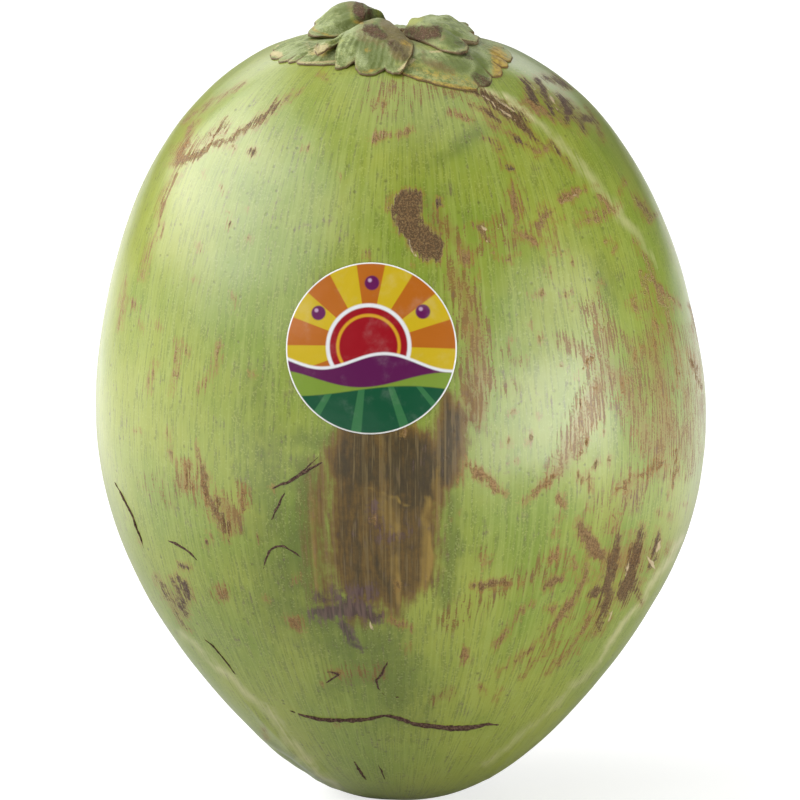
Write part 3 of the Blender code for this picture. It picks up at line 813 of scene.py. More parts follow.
# Inner scales: the three dried sepals of the flower, pressed flat on the crown of the husk. They are
# leathery, about 1.4 mm thick, with a thin torn margin, and grow from the husk round the scar of the stalk.
MM = 0.001
CAP_X = -0.0028
CAP_Y = -0.00637
SEAT_GAP = 0.12
SCALE_START = 5.6
INNER_SEAM = 24.7
INNER_THICK = 1.4
INNER_SCALES = {
    # name: azimuths of the first side, last side and tip, reach in mm, azimuths of the notches at the tip
    "tepal_inner_left": (-126.0, -13.0, -58.0, 32.8, (-100.0, -83.0, -63.0, -55.0, -50.0)),
    "tepal_inner_right": (-7.5, 106.5, 35.0, 38.6, (36.5, 45.0, 54.0, 61.5, 84.0)),
    "tepal_inner_back": (111.5, 229.5, 172.0, 33.0, (134.0, 158.0, 171.0, 183.0, 206.0)),
}
NOTCH_DEEP = 1.5
NOTCH_WIDE = 1.9
NOTCH_FOLD = 0.32
INNER_THINNER = 0.95
# Height and spacing of the lumps on a scale, in mm.
INNER_LUMPS = ((0.16, 3.4), (0.07, 1.1))
RIM_ROUND, RIM_LEAST = 0.45, 0.22
# How much closer the lines of a scale's mesh lie near its sides and near its tip.
SIDE_CROWDING, TIP_CROWDING = 1.35, 1.5
tepal = bpy.data.materials.new("tepal_skin")
scale_pieces = []
husk_faces = [list(face.vertices) for face in husk.data.polygons]
crown_tree = BVHTree.FromPolygons(skin_points.tolist(), husk_faces)


def lumps_at(points, pitch, seed=0.0):
    """Smooth noise from -1 to 1 at these places in mm, with lumps about this far apart."""
    return np.array([noise_of(Vector(point) / pitch + Vector((seed, 0.0, 0.0))) for point in points])


def on_cap(azimuth, reach, lift):
    """Places above the husk, by azimuth in degrees, and reach from the cap's middle and lift in mm."""
    x = CAP_X + reach * MM * np.sin(np.radians(azimuth))
    y = CAP_Y - reach * MM * np.cos(np.radians(azimuth))
    down = Vector((0.0, 0.0, -1.0))
    z = np.array([crown_tree.ray_cast(Vector((a, b, 1.0)), down)[0].z for a, b in zip(x, y)])
    return np.stack([x, y, z + lift * MM], axis=1)


def inner_edge(azimuth):
    """How far the inner scale that covers this azimuth reaches, in mm, without its notches."""
    edge = np.full(len(azimuth), INNER_SEAM)
    for first, last, tip, reach, _ in INNER_SCALES.values():
        turned = (azimuth - first) % 360.0 + first
        away = np.where(turned < tip, (tip - turned) / (tip - first), (turned - tip) / (last - tip))
        covered = INNER_SEAM + (reach - INNER_SEAM) * (1.0 - np.clip(away, 0.0, 1.0) ** 1.2)
        edge = np.where(turned <= last, covered, edge)
    return edge


def two_sided_grid(across, along):
    """A square grid from -1 to 1 with a second side, joined round the rim, and the vertices of each side."""
    body = bmesh.new()
    bmesh.ops.create_grid(body, x_segments=across, y_segments=along, size=1.0)
    upper = list(body.verts)
    made = bmesh.ops.extrude_face_region(body, geom=list(body.faces))
    lower = [item for item in made["geom"] if isinstance(item, bmesh.types.BMVert)]
    return body, upper, lower


def closed_mesh(name, body):
    """The mesh of this closed form, with its faces outwards."""
    bmesh.ops.recalc_face_normals(body, faces=body.faces)
    if body.calc_volume(signed=True) < 0.0:
        bmesh.ops.reverse_faces(body, faces=body.faces)
    mesh = bpy.data.meshes.new(name)
    body.to_mesh(mesh)
    body.free()
    mesh.shade_smooth()
    return mesh


def scale_piece(name, across, along, form):
    """One scale: a grid whose two sides `form` places, with the values that it gives kept on the mesh."""
    body, upper, lower = two_sided_grid(across, along)
    body.verts.index_update()
    marks = {}
    for side, verts in (("top", upper), ("under", lower)):
        u, v = np.array([vert.co[:2] for vert in verts]).T
        u = np.sign(u) * (1.0 - (1.0 - np.abs(u)) ** SIDE_CROWDING)
        v = 1.0 - 2.0 * ((1.0 - v) / 2.0) ** TIP_CROWDING
        places, kept = form(u, v, side == "top")
        for vert, place in zip(verts, places):
            vert.co = place
        for label, values in kept.items():
            marks.setdefault(label, np.zeros(len(body.verts)))[[vert.index for vert in verts]] = values
    mesh = closed_mesh(name + "_skin", body)
    for label, values in marks.items():
        add_attribute(mesh, label, values)
    mesh.materials.append(tepal)
    piece = placed(name + "_skin", mesh)
    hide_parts(name)
    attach(piece, "root")
    return piece


def rounded(edge):
    """How full the scale's thickness is at this distance in mm from its rim, so that the rim is round."""
    part = np.clip(edge / RIM_ROUND, 0.0, 1.0)
    return RIM_LEAST + (1.0 - RIM_LEAST) * np.sqrt(1.0 - (1.0 - part) ** 2)


for name, (first, last, tip, reach, notches) in INNER_SCALES.items():

    def form(u, v, top):
        azimuth = first + (last - first) * (u + 1.0) / 2.0
        base = inner_edge(azimuth)
        crease = np.zeros(len(u))
        for notch in notches:
            crease = np.maximum(crease, np.exp(-np.abs(azimuth - notch) / NOTCH_WIDE))
        ragged = lumps_at(np.stack([azimuth * 0.4, azimuth * 0.0, azimuth * 0.0], axis=1), 1.7, reach)
        end = base - NOTCH_DEEP * crease + 0.25 * ragged
        far = SCALE_START + (end - SCALE_START) * (v + 1.0) / 2.0
        sides = np.minimum(azimuth - first, last - azimuth) * math.pi / 180.0 * far
        rim = np.minimum(end - far, sides)
        lift = np.full(len(u), SEAT_GAP)
        fold = crease**2 * smooth(-6.0, -0.8, far - end)
        if top:
            thick = INNER_THICK - INNER_THINNER * smooth(-9.0, -0.5, far - end)
            lift = lift + thick * rounded(rim) - NOTCH_FOLD * fold
            spots = on_cap(azimuth, far, lift)
            body_part = smooth(0.2, 2.0, rim)
            for high, pitch in INNER_LUMPS:
                lift = lift + high * body_part * lumps_at(spots / MM, pitch)
            rib = np.sin(azimuth * 1.9 + 2.0 * lumps_at(spots / MM, 9.0))
            lift = lift + 0.05 * body_part * rib * smooth(10.0, 20.0, far)
        return on_cap(azimuth, far, lift), {"rim": np.clip(rim, 0.0, 4.0), "crease": fold}

    scale_pieces.append(scale_piece(name, 210, 56, form))


# Outer scales: three thicker sepals over the seams of the inner ones. Each rises from the stalk in a
# knobbly hump with a healed scar on top, and ends in torn lobes that lie over the inner scales.
OUTER_START = 5.8
OUTER_LIFT = 1.6
OUTER_THICK = 1.2
OUTER_THINNER = 0.75
UNDER_GAP = 0.2
CORNER_CURL, TONGUE_CURL = 0.5, 1.1
HUMP_AT = 12.8
HUMP_LONG = 8.0
HUMP_ROOT = 13.0
HUMP_SIDES = 0.12
OUTER_SCALES = {
    # name: middle azimuth, half span, half width in mm, height of the hump over the table, half width of
    # the hump, then the outline from one side (-1) to the other (1), with its reach in mm
    "tepal_outer_front": (-16.5, 39.0, 13.0, 202.7, 8.0, (
        (-1.0, 23.4), (-0.93, 26.4), (-0.83, 27.6), (-0.73, 26.6), (-0.65, 23.6), (-0.60, 21.0),
        (-0.52, 26.2), (-0.44, 29.4), (-0.34, 29.2), (-0.20, 27.9), (-0.10, 26.4), (-0.04, 28.6),
        (0.06, 29.8), (0.22, 30.3), (0.40, 29.4), (0.49, 28.2), (0.54, 27.2), (0.60, 28.2), (0.72, 28.8),
        (0.86, 28.6), (0.94, 27.2), (1.0, 23.0),
    )),
    "tepal_outer_left": (-124.0, 57.0, 20.0, 205.0, 9.5, (
        (-1.0, 16.0), (-0.85, 19.0), (-0.66, 20.6), (-0.50, 18.4), (-0.36, 20.8), (-0.16, 20.7),
        (0.0, 18.2), (0.12, 20.2), (0.30, 19.4), (0.47, 16.8), (0.62, 16.9), (0.80, 15.2), (0.93, 12.8),
        (1.0, 11.0),
    )),
    "tepal_outer_right": (76.0, 48.5, 22.0, 202.6, 16.0, (
        (-1.0, 19.5), (-0.90, 22.6), (-0.78, 23.8), (-0.64, 23.5), (-0.52, 21.0), (-0.36, 24.2),
        (-0.16, 23.9), (0.0, 20.6), (0.14, 21.2), (0.34, 19.4), (0.49, 17.2), (0.64, 17.6), (0.84, 16.4),
        (1.0, 14.0),
    )),
}

for name, (middle, span, half_width, hump_top, hump_wide, outline) in OUTER_SCALES.items():
    outline_u, outline_reach = np.array(outline).T
    hump_foot = on_cap(np.array([middle]), np.array([HUMP_AT]), 0.0)[0, 2] / MM
    hump = hump_top - hump_foot - OUTER_LIFT - OUTER_THICK

    def form(u, v, top):
        end = np.interp(u, outline_u, outline_reach)
        end = end + 0.3 * lumps_at(np.stack([u * 9.0, u * 0.0, u * 0.0], axis=1), 1.0, middle)
        start = OUTER_START * np.cos(np.radians(span * u))
        along = start + (end - start) * (v + 1.0) / 2.0
        limit = math.tan(math.radians(span)) * along
        half = half_width * limit / (half_width**4 + limit**4) ** 0.25
        side = u * half
        azimuth = middle + np.degrees(np.arctan2(side, along))
        far = np.hypot(side, along)
        rim = np.minimum(end - along, (1.0 - np.abs(u)) * half)
        edge = inner_edge(azimuth)
        under = UNDER_GAP + (OUTER_LIFT - UNDER_GAP) * (1.0 - smooth(edge - 3.0, edge + 2.5, far))
        # The left scale curls up on one side only.
        corner = u if name == "tepal_outer_left" else np.abs(u)
        curl = CORNER_CURL * smooth(-2.6, -0.2, along - end) * smooth(0.25, 0.9, corner)
        if name == "tepal_outer_front":
            curl = curl + TONGUE_CURL * smooth(-0.60, -0.75, u) * smooth(19.0, 23.0, along)
        lift = under + curl
        slope = np.where(along > HUMP_AT, HUMP_LONG, HUMP_ROOT)
        knob = np.exp(-(((along - HUMP_AT) / slope) ** 2) - (side / hump_wide) ** 2)
        knob = knob * (HUMP_SIDES + (1.0 - HUMP_SIDES) * smooth(0.0, 4.5, (1.0 - np.abs(u)) * half))
        if top:
            near = np.maximum(smooth(-6.0, -0.5, along - end), smooth(0.72, 1.0, np.abs(u)))
            lift = lift + (OUTER_THICK - OUTER_THINNER * near) * rounded(rim) + hump * knob
            spots = on_cap(azimuth, far, lift)
            body_part = smooth(0.2, 2.5, rim)
            lift = lift + body_part * (0.20 + 0.45 * knob) * lumps_at(spots / MM, 3.8)
            lift = lift + body_part * 0.14 * lumps_at(spots / MM, 1.3, 5.0)
            rib = np.sin(side * 4.2 + 2.0 * lumps_at(spots / MM, 7.0))
            lift = lift + 0.06 * body_part * rib * smooth(16.0, 22.0, along)
        return on_cap(azimuth, far, lift), {"rim": np.clip(rim, 0.0, 4.0), "crease": u * 0.0}

    scale_pieces.append(scale_piece(name, 150, 84, form))


# Cap colours: a grey green bloom over leathery green, cork scars on the humps, amber and cream where torn
# tips have dried, and a thin brown rim. They are placed by pixels where the photograph shows the cap.
SCALE_MARKS = {
    # how softly it fades in pixels, strength, then places and widths
    "scar": (
        (4, 1.0, ((359, 2, 9), (359, 10, 15), (362, 18, 10))), (3, 0.8, ((368, 4, 6), (370, 15, 6))),
        (5, 1.0, ((367, 29, 10), (375, 31, 14), (383, 36, 9))),
        (5, 0.65, ((386, 40, 8), (396, 46, 13), (404, 54, 8))),
        (5, 1.0, ((406, 30, 8), (420, 34, 16), (436, 32, 13))),
        (3, 0.7, ((458, 51, 4), (466, 55, 8), (472, 59, 5))),
        (5, 0.85, ((474, 76, 8), (486, 82, 12), (494, 88, 6))),
        (3, 0.6, ((455, 42, 3), (468, 44, 6), (480, 50, 3))), (2, 0.5, ((413, 26, 1), (423, 17, 1))),
    ),
    "lush": (
        (5, 0.8, ((346, 10, 6), (348, 22, 8))), (6, 0.9, ((362, 44, 16), (376, 54, 22), (372, 64, 10))),
        (5, 1.0, ((442, 30, 6), (454, 40, 18), (464, 46, 8))), (6, 0.8, ((444, 62, 12), (464, 66, 16))),
        (5, 0.9, ((476, 56, 10), (482, 66, 12), (476, 74, 6))), (5, 0.4, ((290, 40, 8), (300, 52, 10))),
    ),
    "fresh": (
        (4, 0.9, ((352, 8, 4), (352, 20, 6))), (4, 0.9, ((378, 9, 5), (382, 18, 5))),
        (5, 1.0, ((400, 26, 10), (410, 20, 12), (420, 17, 8))),
        (5, 0.7, ((412, 44, 8), (426, 48, 8), (446, 49, 5))),
        (6, 0.7, ((414, 64, 10), (440, 70, 10), (470, 78, 8))), (6, 0.5, ((398, 60, 16), (406, 48, 8))),
        (5, 0.5, ((330, 44, 12), (342, 40, 6))),
    ),
    "umber": (
        (6, 1.0, ((386, 24, 14), (397, 36, 26), (402, 50, 24))), (6, 0.5, ((356, 30, 6), (362, 40, 6))),
        (4, 0.8, ((424, 52, 5), (424, 58, 4))), (5, 0.9, ((424, 61, 6), (438, 66, 10), (453, 72, 6))),
        (5, 0.6, ((352, 4, 14), (366, 20, 20))), (6, 0.6, ((366, 32, 24), (384, 40, 16))),
        (6, 0.6, ((412, 32, 18), (436, 34, 20))), (4, 0.6, ((310, 40, 3), (318, 38, 4), (328, 37, 3))),
        (5, 0.4, ((478, 40, 8), (492, 52, 8))),
    ),
    "amber": (
        (3, 0.9, ((400, 73, 3), (431, 82, 4), (470, 89, 4), (490, 94, 3))),
        (5, 0.5, ((412, 66, 8), (440, 76, 8), (476, 84, 8))),
        (6, 1.0, ((496, 52, 12), (503, 66, 20), (500, 82, 14))),
        (4, 0.6, ((312, 52, 6), (322, 54, 8), (330, 48, 6))), (2, 0.9, ((356, 22, 4), (362, 22, 4))),
        (2, 0.8, ((310, 22, 3), (314, 30, 3), (322, 33, 2), (334, 37, 2))),
        (4, 0.6, ((366, 50, 4), (370, 50, 4))), (3, 0.8, ((356, 70, 2), (367, 72, 3), (380, 68, 2))),
        (4, 0.7, ((402, 42, 6), (410, 46, 5))),
    ),
    "cream": (
        (2, 0.9, ((268, 42, 5), (277, 44, 5))), (2, 0.9, ((271, 53, 6), (280, 55, 6))),
        (2, 0.6, ((285, 61, 4), (296, 63, 3))), (1, 0.9, ((292, 63, 2), (314, 62.5, 2), (336, 61, 2))),
        (2, 1.0, ((399, 70, 3), (406, 65, 4), (414, 59, 3))), (3, 0.8, ((317, 50, 10), (326, 47, 8))),
        (1, 0.9, ((430, 52, 2), (446, 51, 2), (458, 53, 2))), (2, 0.6, ((336, 65, 3), (339, 66, 3))),
        (2, 0.8, ((408, 38, 3), (416, 40, 3), (424, 41, 3))), (3, 0.5, ((380, 38, 4), (392, 40, 4))),
        (4, 0.4, ((308, 44, 8), (310, 52, 8))),
    ),
}
MARKS_BACK = CAP_Y + 0.016
for piece in scale_pieces:
    spots = points_of(piece.data)
    seen = in_photo(spots)
    for label, areas in SCALE_MARKS.items():
        amount = np.zeros(len(spots))
        for fade, strength, points in areas:
            amount = np.maximum(amount, strength * soft_part(depth_of(seen, points), fade))
        amount[spots[:, 1] > MARKS_BACK] = 0.0
        add_attribute(piece.data, label, amount)

tree, shader = start_material(tepal, Specular_IOR_Level=0.4)
spot = tree.nodes.new("ShaderNodeTexCoord").outputs["Object"]
broad = noise(tree, spot, 160.0, 4.0, 0.6)
patch = noise(tree, spot, 620.0, 4.0, 0.7)
fuzz = noise(tree, spot, 2400.0, 3.0, 0.65)
hair = noise(tree, spot, 4200.0, 2.0, 0.6)
rim = attribute(tree, "rim")
rough_edge = (fuzz - 0.5) * 1.2 + (patch - 0.5) * 1.3 + (hair - 0.5) * 0.5


def part_of(label, low=0.20, high=0.85):
    """How much of this mark shows here, with an edge that breaks up into grains."""
    return ramp(attribute(tree, label) + rough_edge, low, high)


mottle = ramp(patch + (fuzz - 0.5) * 0.6, 0.36, 0.64)
colour = blend(tree, mottle, (0.200, 0.245, 0.060), (0.330, 0.390, 0.140))
colour = blend(tree, ramp(broad + (fuzz - 0.5) * 0.8, 0.40, 0.68) * 0.55, colour, (0.400, 0.450, 0.240))
deep_green = ramp(-broad - (patch - 0.5) * 0.5 + 1.0, 0.48, 0.62)
colour = blend(tree, deep_green * 0.50, colour, (0.105, 0.135, 0.028))
colour = blend(tree, ramp(hair + (broad - 0.5) * 0.6, 0.56, 0.70) * 0.28, colour, (0.110, 0.125, 0.040))
for label, strength, mix, low_tint, high_tint in (
    ("fresh", 0.80, fuzz, (0.200, 0.230, 0.025), (0.380, 0.400, 0.075)),
    ("lush", 0.80, fuzz, (0.060, 0.085, 0.010), (0.170, 0.220, 0.045)),
    ("umber", 0.80, fuzz, (0.075, 0.040, 0.010), (0.270, 0.190, 0.060)),
    ("amber", 0.85, ramp(patch, 0.36, 0.60), (0.260, 0.140, 0.016), (0.520, 0.350, 0.050)),
    ("cream", 0.85, fuzz, (0.420, 0.320, 0.130), (0.700, 0.610, 0.340)),
):
    colour = blend(tree, part_of(label) * strength, colour, blend(tree, mix, low_tint, high_tint))
strip = ramp(rim + (fuzz - 0.5) * 0.5, 0.20, 0.45) * (-ramp(rim + (patch - 0.5) * 1.6, 0.5, 1.1) + 1.0)
colour = blend(tree, strip * ramp(broad, 0.42, 0.6) * 0.6, colour, (0.450, 0.350, 0.140))
crease = ramp(attribute(tree, "crease") + (fuzz - 0.5) * 0.5, 0.35, 0.8)
edge = (-ramp(rim + (fuzz - 0.5) * 0.5, 0.05, 0.32) + 1.0).step("MAXIMUM", crease)
colour = blend(tree, edge * 0.85, colour, blend(tree, hair, (0.045, 0.018, 0.008), (0.190, 0.100, 0.035)))
scar = part_of("scar", 0.40, 0.95)
cork_scar, cork_height = corked(tree, spot, 0.6)
scar_patch = ramp(patch + (fuzz - 0.5) * 0.6, 0.36, 0.62)
scar_hair = ramp(hair + (patch - 0.5) * 0.4, 0.56, 0.70)
cork_scar = blend(tree, scar_patch * 0.8, cork_scar, (0.085, 0.022, 0.014))
cork_scar = blend(tree, scar_hair * 0.7, cork_scar, (0.480, 0.350, 0.200))
colour = blend(tree, scar * 0.92, colour, cork_scar)
tree.links.new((scar * 0.2 + fuzz * 0.2 + 0.42).socket, shader.inputs["Roughness"])
relief = fuzz * 0.16 + hair * 0.06 + scar * (fuzz * 0.5 + cork_height * 1.6) + patch * 0.30
dress(tree, shader, colour, relief, 0.8)


# Scar of the stalk: the stub that was left in the middle of the cap when the stalk was pulled off. It is
# dry cork, grown in one piece with the husk, with torn fibres standing out of its top.
SCAR_RADIUS = 4.4
SCAR_HIGH = 2.2
SCAR_TAPER = 0.12
FIBRE_LEAN = 0.55
FIBRE_GROWTH = (0.35, 1.25)
stub_cork = bpy.data.materials.new("stalk_cork")
scar_sizes = {
    "Fibre Count": 260,
    "Fibre Length": 0.0013,
    "Fibre Radius": 0.00022,
    "Fibre Tip": 0.00005,
    "Seed": 4,
    "Material": stub_cork,
}


def on_disc(vert, radius):
    """Where a vertex of a square grid is on a disc of this radius."""
    u, v = vert.co.x, vert.co.y
    return radius * u * math.sqrt(1.0 - v * v / 2.0), radius * v * math.sqrt(1.0 - u * u / 2.0)


stub, _, sole = two_sided_grid(64, 64)
sole = set(sole)
seat = on_cap(np.array([0.0]), np.array([0.0]), SEAT_GAP)[0]
for vert in stub.verts:
    x, y = on_disc(vert, SCAR_RADIUS)
    out = math.hypot(x, y) / SCAR_RADIUS
    narrowed = 1.0 - SCAR_TAPER * (vert not in sole)
    x, y = x * narrowed, y * narrowed
    rough = noise_of(Vector((x, y, 0.0)) / 0.9) * 0.35 + noise_of(Vector((x, y, 4.0)) / 2.4) * 0.5
    high = 0.0 if vert in sole else SCAR_HIGH * (0.62 + 0.2 * out**2) * (1.0 - 0.5 * out**8) + rough
    vert.co = Vector(seat) + Vector((x, y, high)) * MM
stub_mesh = closed_mesh("stub", stub)

tree, size = form_tree("torn_fibres", scar_sizes)
entry = size["Geometry"]
outward = tree.nodes.new("GeometryNodeInputNormal")
slope = new_node(tree, "ShaderNodeSeparateXYZ", Vector=outward.outputs[0])
facing_up = Field(slope.outputs["Z"]).step("GREATER_THAN", 0.4)
area = SCAR_RADIUS * SCAR_RADIUS * math.pi * MM * MM
density = Field(size["Fibre Count"]) / area
spread = tree.nodes.new("GeometryNodeDistributePointsOnFaces")
tree.links.new(entry, spread.inputs["Mesh"])
tree.links.new(facing_up.socket, spread.inputs["Selection"])
tree.links.new(density.socket, spread.inputs["Density"])
tree.links.new(size["Seed"], spread.inputs["Seed"])
strand = tree.nodes.new("GeometryNodeMeshCone")
strand.inputs["Vertices"].default_value = 5
tree.links.new(size["Fibre Tip"], strand.inputs["Radius Top"])
tree.links.new(size["Fibre Radius"], strand.inputs["Radius Bottom"])
tree.links.new(size["Fibre Length"], strand.inputs["Depth"])
tilt = tree.nodes.new("FunctionNodeRandomValue")
tilt.data_type = "FLOAT_VECTOR"
tilt.inputs[0].default_value = (-FIBRE_LEAN, -FIBRE_LEAN, 0.0)
tilt.inputs[1].default_value = (FIBRE_LEAN, FIBRE_LEAN, 6.28)
growth = tree.nodes.new("FunctionNodeRandomValue")
growth.inputs[2].default_value, growth.inputs[3].default_value = FIBRE_GROWTH
stand = new_node(tree, "GeometryNodeInstanceOnPoints", Points=spread.outputs[0], Instance=strand.outputs[0])
tree.links.new(tilt.outputs[0], stand.inputs["Rotation"])
tree.links.new(growth.outputs[1], stand.inputs["Scale"])
joined = tree.nodes.new("GeometryNodeJoinGeometry")
tree.links.new(entry, joined.inputs[0])
tree.links.new(stand.outputs[0], joined.inputs[0])
end_tree(tree, joined.outputs[0], size["Material"])
stalk = grown("stalk_scar_cork", tree, scar_sizes, stub_mesh)
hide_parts("stalk_scar")
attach(stalk, "root")

tree, shader = start_material(stub_cork, Specular_IOR_Level=0.25, Roughness=0.9)
spot = tree.nodes.new("ShaderNodeTexCoord").outputs["Object"]
strands = noise(tree, spot, 2600.0, 3.0, 0.6)
colour, cork_height = corked(tree, spot, 0.35)
colour = blend(tree, ramp(strands, 0.55, 0.72), colour, (0.520, 0.400, 0.230))
dress(tree, shader, colour, cork_height * 2.0 + strands * 0.2, 0.8)


# Cracks: fine splits where the rind dried, with raised dark lips. Each follows pixels of the photograph and
# is laid on the skin as a thin welt, half sunk into it.
CRACKS = (
    # thickness in mm, then the pixels
    (0.80, ((288, 710), (302, 715), (319, 719), (333, 720), (353, 720), (367, 719), (381, 716),
            (392, 715))),
    (1.10, ((376, 715), (390, 716), (405, 720), (414, 724), (433, 726), (453, 728), (472, 727),
            (488, 724), (501, 725))),
    (0.30, ((321, 673), (330, 672), (339, 674), (334, 678), (326, 683))),
    (0.35, ((389, 659), (385, 667), (382, 674), (376, 680), (378, 688), (385, 696))),
    (0.50, ((354, 761), (358, 768), (362, 774), (367, 781))),
    (0.25, ((378, 764), (382, 772), (386, 783))), (0.35, ((394, 697), (400, 697))),
    (0.55, ((114, 481), (121, 493), (128, 507), (133, 516), (136, 527), (141, 538), (144, 550))),
    (0.45, ((166, 540), (175, 543), (184, 548), (191, 554), (198, 561))),
    (0.35, ((204, 639), (212, 645), (219, 653), (228, 664), (237, 677))),
    (0.40, ((271, 489), (279, 485), (287, 483), (296, 478), (303, 473), (313, 467), (324, 462))),
    (0.30, ((286, 491), (281, 499), (278, 507), (274, 514), (271, 521))),
    (0.35, ((263, 570), (266, 559), (270, 550), (277, 546), (284, 546), (294, 552), (303, 559))),
    (0.25, ((290, 481), (306, 468), (323, 453))),
)
crack_dark = bpy.data.materials.new("crack_lip")
crack_sizes = {"Radius": 0.001, "Sides": 6, "Step": 0.0006, "Wander": 0.0006, "Material": crack_dark}
CRACK_SUNK = 0.3
course = bpy.data.curves.new("crack_course", "CURVE")
course.dimensions = "3D"
for thick, pixels in CRACKS:
    line = course.splines.new("POLY")
    spots = []
    for x, y in pixels:
        spot_on, out, _, _ = crown_tree.ray_cast(camera.location, ray_through(x, y))
        spots.append(spot_on - out * thick * CRACK_SUNK * MM)
    line.points.add(len(spots) - 1)
    for point, place in zip(line.points, spots):
        point.co = (*place, 1.0)
        point.radius = thick

tree, size = form_tree("crack_form", crack_sizes)
entry = size["Geometry"]
fine_line = tree.nodes.new("GeometryNodeResampleCurve")
fine_line.mode = "LENGTH"
tree.links.new(entry, fine_line.inputs["Curve"])
tree.links.new(size["Step"], fine_line.inputs["Length"])
shake = new_node(tree, "ShaderNodeTexNoise", Scale=420.0, Detail=2.0)
centred = tree.nodes.new("ShaderNodeVectorMath")
centred.operation = "SUBTRACT"
centred.inputs[1].default_value = (0.5, 0.5, 0.5)
tree.links.new(shake.outputs["Color"], centred.inputs[0])
stray = scaled(tree, centred.outputs[0], size["Wander"])
shaken = new_node(tree, "GeometryNodeSetPosition", Geometry=fine_line.outputs[0], Offset=stray)
along_line = Field(tree.nodes.new("GeometryNodeSplineParameter").outputs["Factor"])
taper = (along_line * math.pi).step("SINE").step("POWER", 0.45) * 0.9 + 0.1
uneven_noise = new_node(tree, "ShaderNodeTexNoise", Scale=700.0, Detail=2.0)
thickness = tree.nodes.new("GeometryNodeInputRadius").outputs[0]
full = taper * Field(thickness) * (Field(uneven_noise.outputs[0]) * 1.4 + 0.3)
radius_set = new_node(tree, "GeometryNodeSetCurveRadius", Curve=shaken.outputs[0], Radius=full)
ring = tree.nodes.new("GeometryNodeCurvePrimitiveCircle")
tree.links.new(size["Sides"], ring.inputs["Resolution"])
tree.links.new(size["Radius"], ring.inputs["Radius"])
welt = tree.nodes.new("GeometryNodeCurveToMesh")
tree.links.new(radius_set.outputs[0], welt.inputs["Curve"])
tree.links.new(ring.outputs[0], welt.inputs["Profile Curve"])
welt.inputs["Fill Caps"].default_value = True
read_radius = tree.nodes.new("GeometryNodeInputRadius")
tree.links.new(read_radius.outputs[0], welt.inputs["Scale"])
end_tree(tree, welt.outputs[0], size["Material"])
cracks = grown("husk_cracks", tree, crack_sizes, course)
cracks.data.shade_smooth()
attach(cracks, "root")

tree, shader = start_material(crack_dark, Specular_IOR_Level=0.3, Roughness=0.8)
spot = tree.nodes.new("ShaderNodeTexCoord").outputs["Object"]
colour, cork_height = corked(tree, spot, 1.0)
dress(tree, shader, colour, cork_height, 0.6)


# Sticker: a round printed film, 42 mm across, stuck on the front of the fruit. It carries a plain badge
# of the kind that fruit stalls use: rays behind a red sun, plum coloured hills and a green field.
LABEL_AT = Vector((-0.0076, -0.2, 0.1294))
LABEL_RADIUS = 0.021
LABEL_LIFT = 0.35
LABEL_THICK = 0.12
WHITE_LINE = (0.740, 0.760, 0.770)
film = bpy.data.materials.new("label_film")

label_heart, label_out, _, _ = crown_tree.ray_cast(LABEL_AT, Vector((0.0, 1.0, 0.0)))
label_level = Vector((0.0, 0.0, 1.0)).cross(label_out).normalized()
label_up = label_out.cross(label_level).normalized()
disc, _, back_side = two_sided_grid(96, 96)
back_side = set(back_side)
print_map = disc.loops.layers.uv.new("print")
print_place = {}
for vert in disc.verts:
    right, up = on_disc(vert, 1.0)
    print_place[vert] = (right, up)
    above = label_heart + (label_level * right + label_up * up) * LABEL_RADIUS + label_out * 0.02
    hit = crown_tree.ray_cast(above, -label_out)[0]
    pucker = 0.05 * noise_of(Vector((right * 3.0, up * 3.0, 1.0)))
    pucker += 0.03 * noise_of(Vector((right, up, 2.0)) * 9.0)
    vert.co = hit + label_out * (LABEL_LIFT + pucker - LABEL_THICK * (vert in back_side)) * MM
for face in disc.faces:
    for loop in face.loops:
        loop[print_map].uv = print_place[loop.vert]
sticker = placed("label_print", closed_mesh("label_film", disc))
sticker.data.materials.append(film)
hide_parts("label")
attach(sticker, "root")

film_gloss = {"Coat_Weight": 0.1, "Coat_Roughness": 0.1, "Specular_IOR_Level": 0.32, "Roughness": 0.3}
tree, shader = start_material(film, **film_gloss)
printed = tree.nodes.new("ShaderNodeUVMap")
printed.uv_map = "print"
place = new_node(tree, "ShaderNodeSeparateXYZ", Vector=printed.outputs[0])
right, up = Field(place.outputs["X"]), Field(place.outputs["Y"])
spot = tree.nodes.new("ShaderNodeTexCoord").outputs["Object"]


def inside(distance, soft=0.012):
    """1 where this printed distance is below zero, with a thin soft edge."""
    return -ramp(distance, -soft, soft) + 1.0


def away_from(x, y):
    """Distance from this place of the print."""
    across, above = right - x, up - y
    return (across * across + above * above).step("SQRT")


SUN_X, SUN_Y = -0.02, 0.02
BERRIES = ((-0.62, 0.40), (0.60, 0.44), (0.0, 0.76))
ray_turn = (up - SUN_Y).step("ARCTAN2", right - SUN_X)
rays = ramp((ray_turn * 9.0).step("SINE"), -0.12, 0.12)
colour = blend(tree, rays, (0.560, 0.400, 0.012), (0.440, 0.125, 0.010))
far_sun = away_from(SUN_X, SUN_Y)
colour = blend(tree, inside(far_sun - 0.50), colour, WHITE_LINE)
colour = blend(tree, inside(far_sun - 0.455), colour, (0.300, 0.005, 0.012))
colour = blend(tree, inside((far_sun - 0.36).step("ABSOLUTE") - 0.018), colour, (0.620, 0.330, 0.020))
hill = (right * 4.2 + 0.8).step("SINE") * 0.09 - 0.17
colour = blend(tree, inside(up - hill - 0.035), colour, WHITE_LINE)
colour = blend(tree, inside(up - hill), colour, (0.100, 0.008, 0.070))
near_hill = (right * 3.0 - 1.2).step("SINE") * 0.10 - 0.36
colour = blend(tree, inside(up - near_hill), colour, (0.190, 0.290, 0.035))
field = (right * 2.2 + 0.4).step("SINE") * 0.07 - 0.50
colour = blend(tree, inside(up - field), colour, (0.004, 0.075, 0.030))
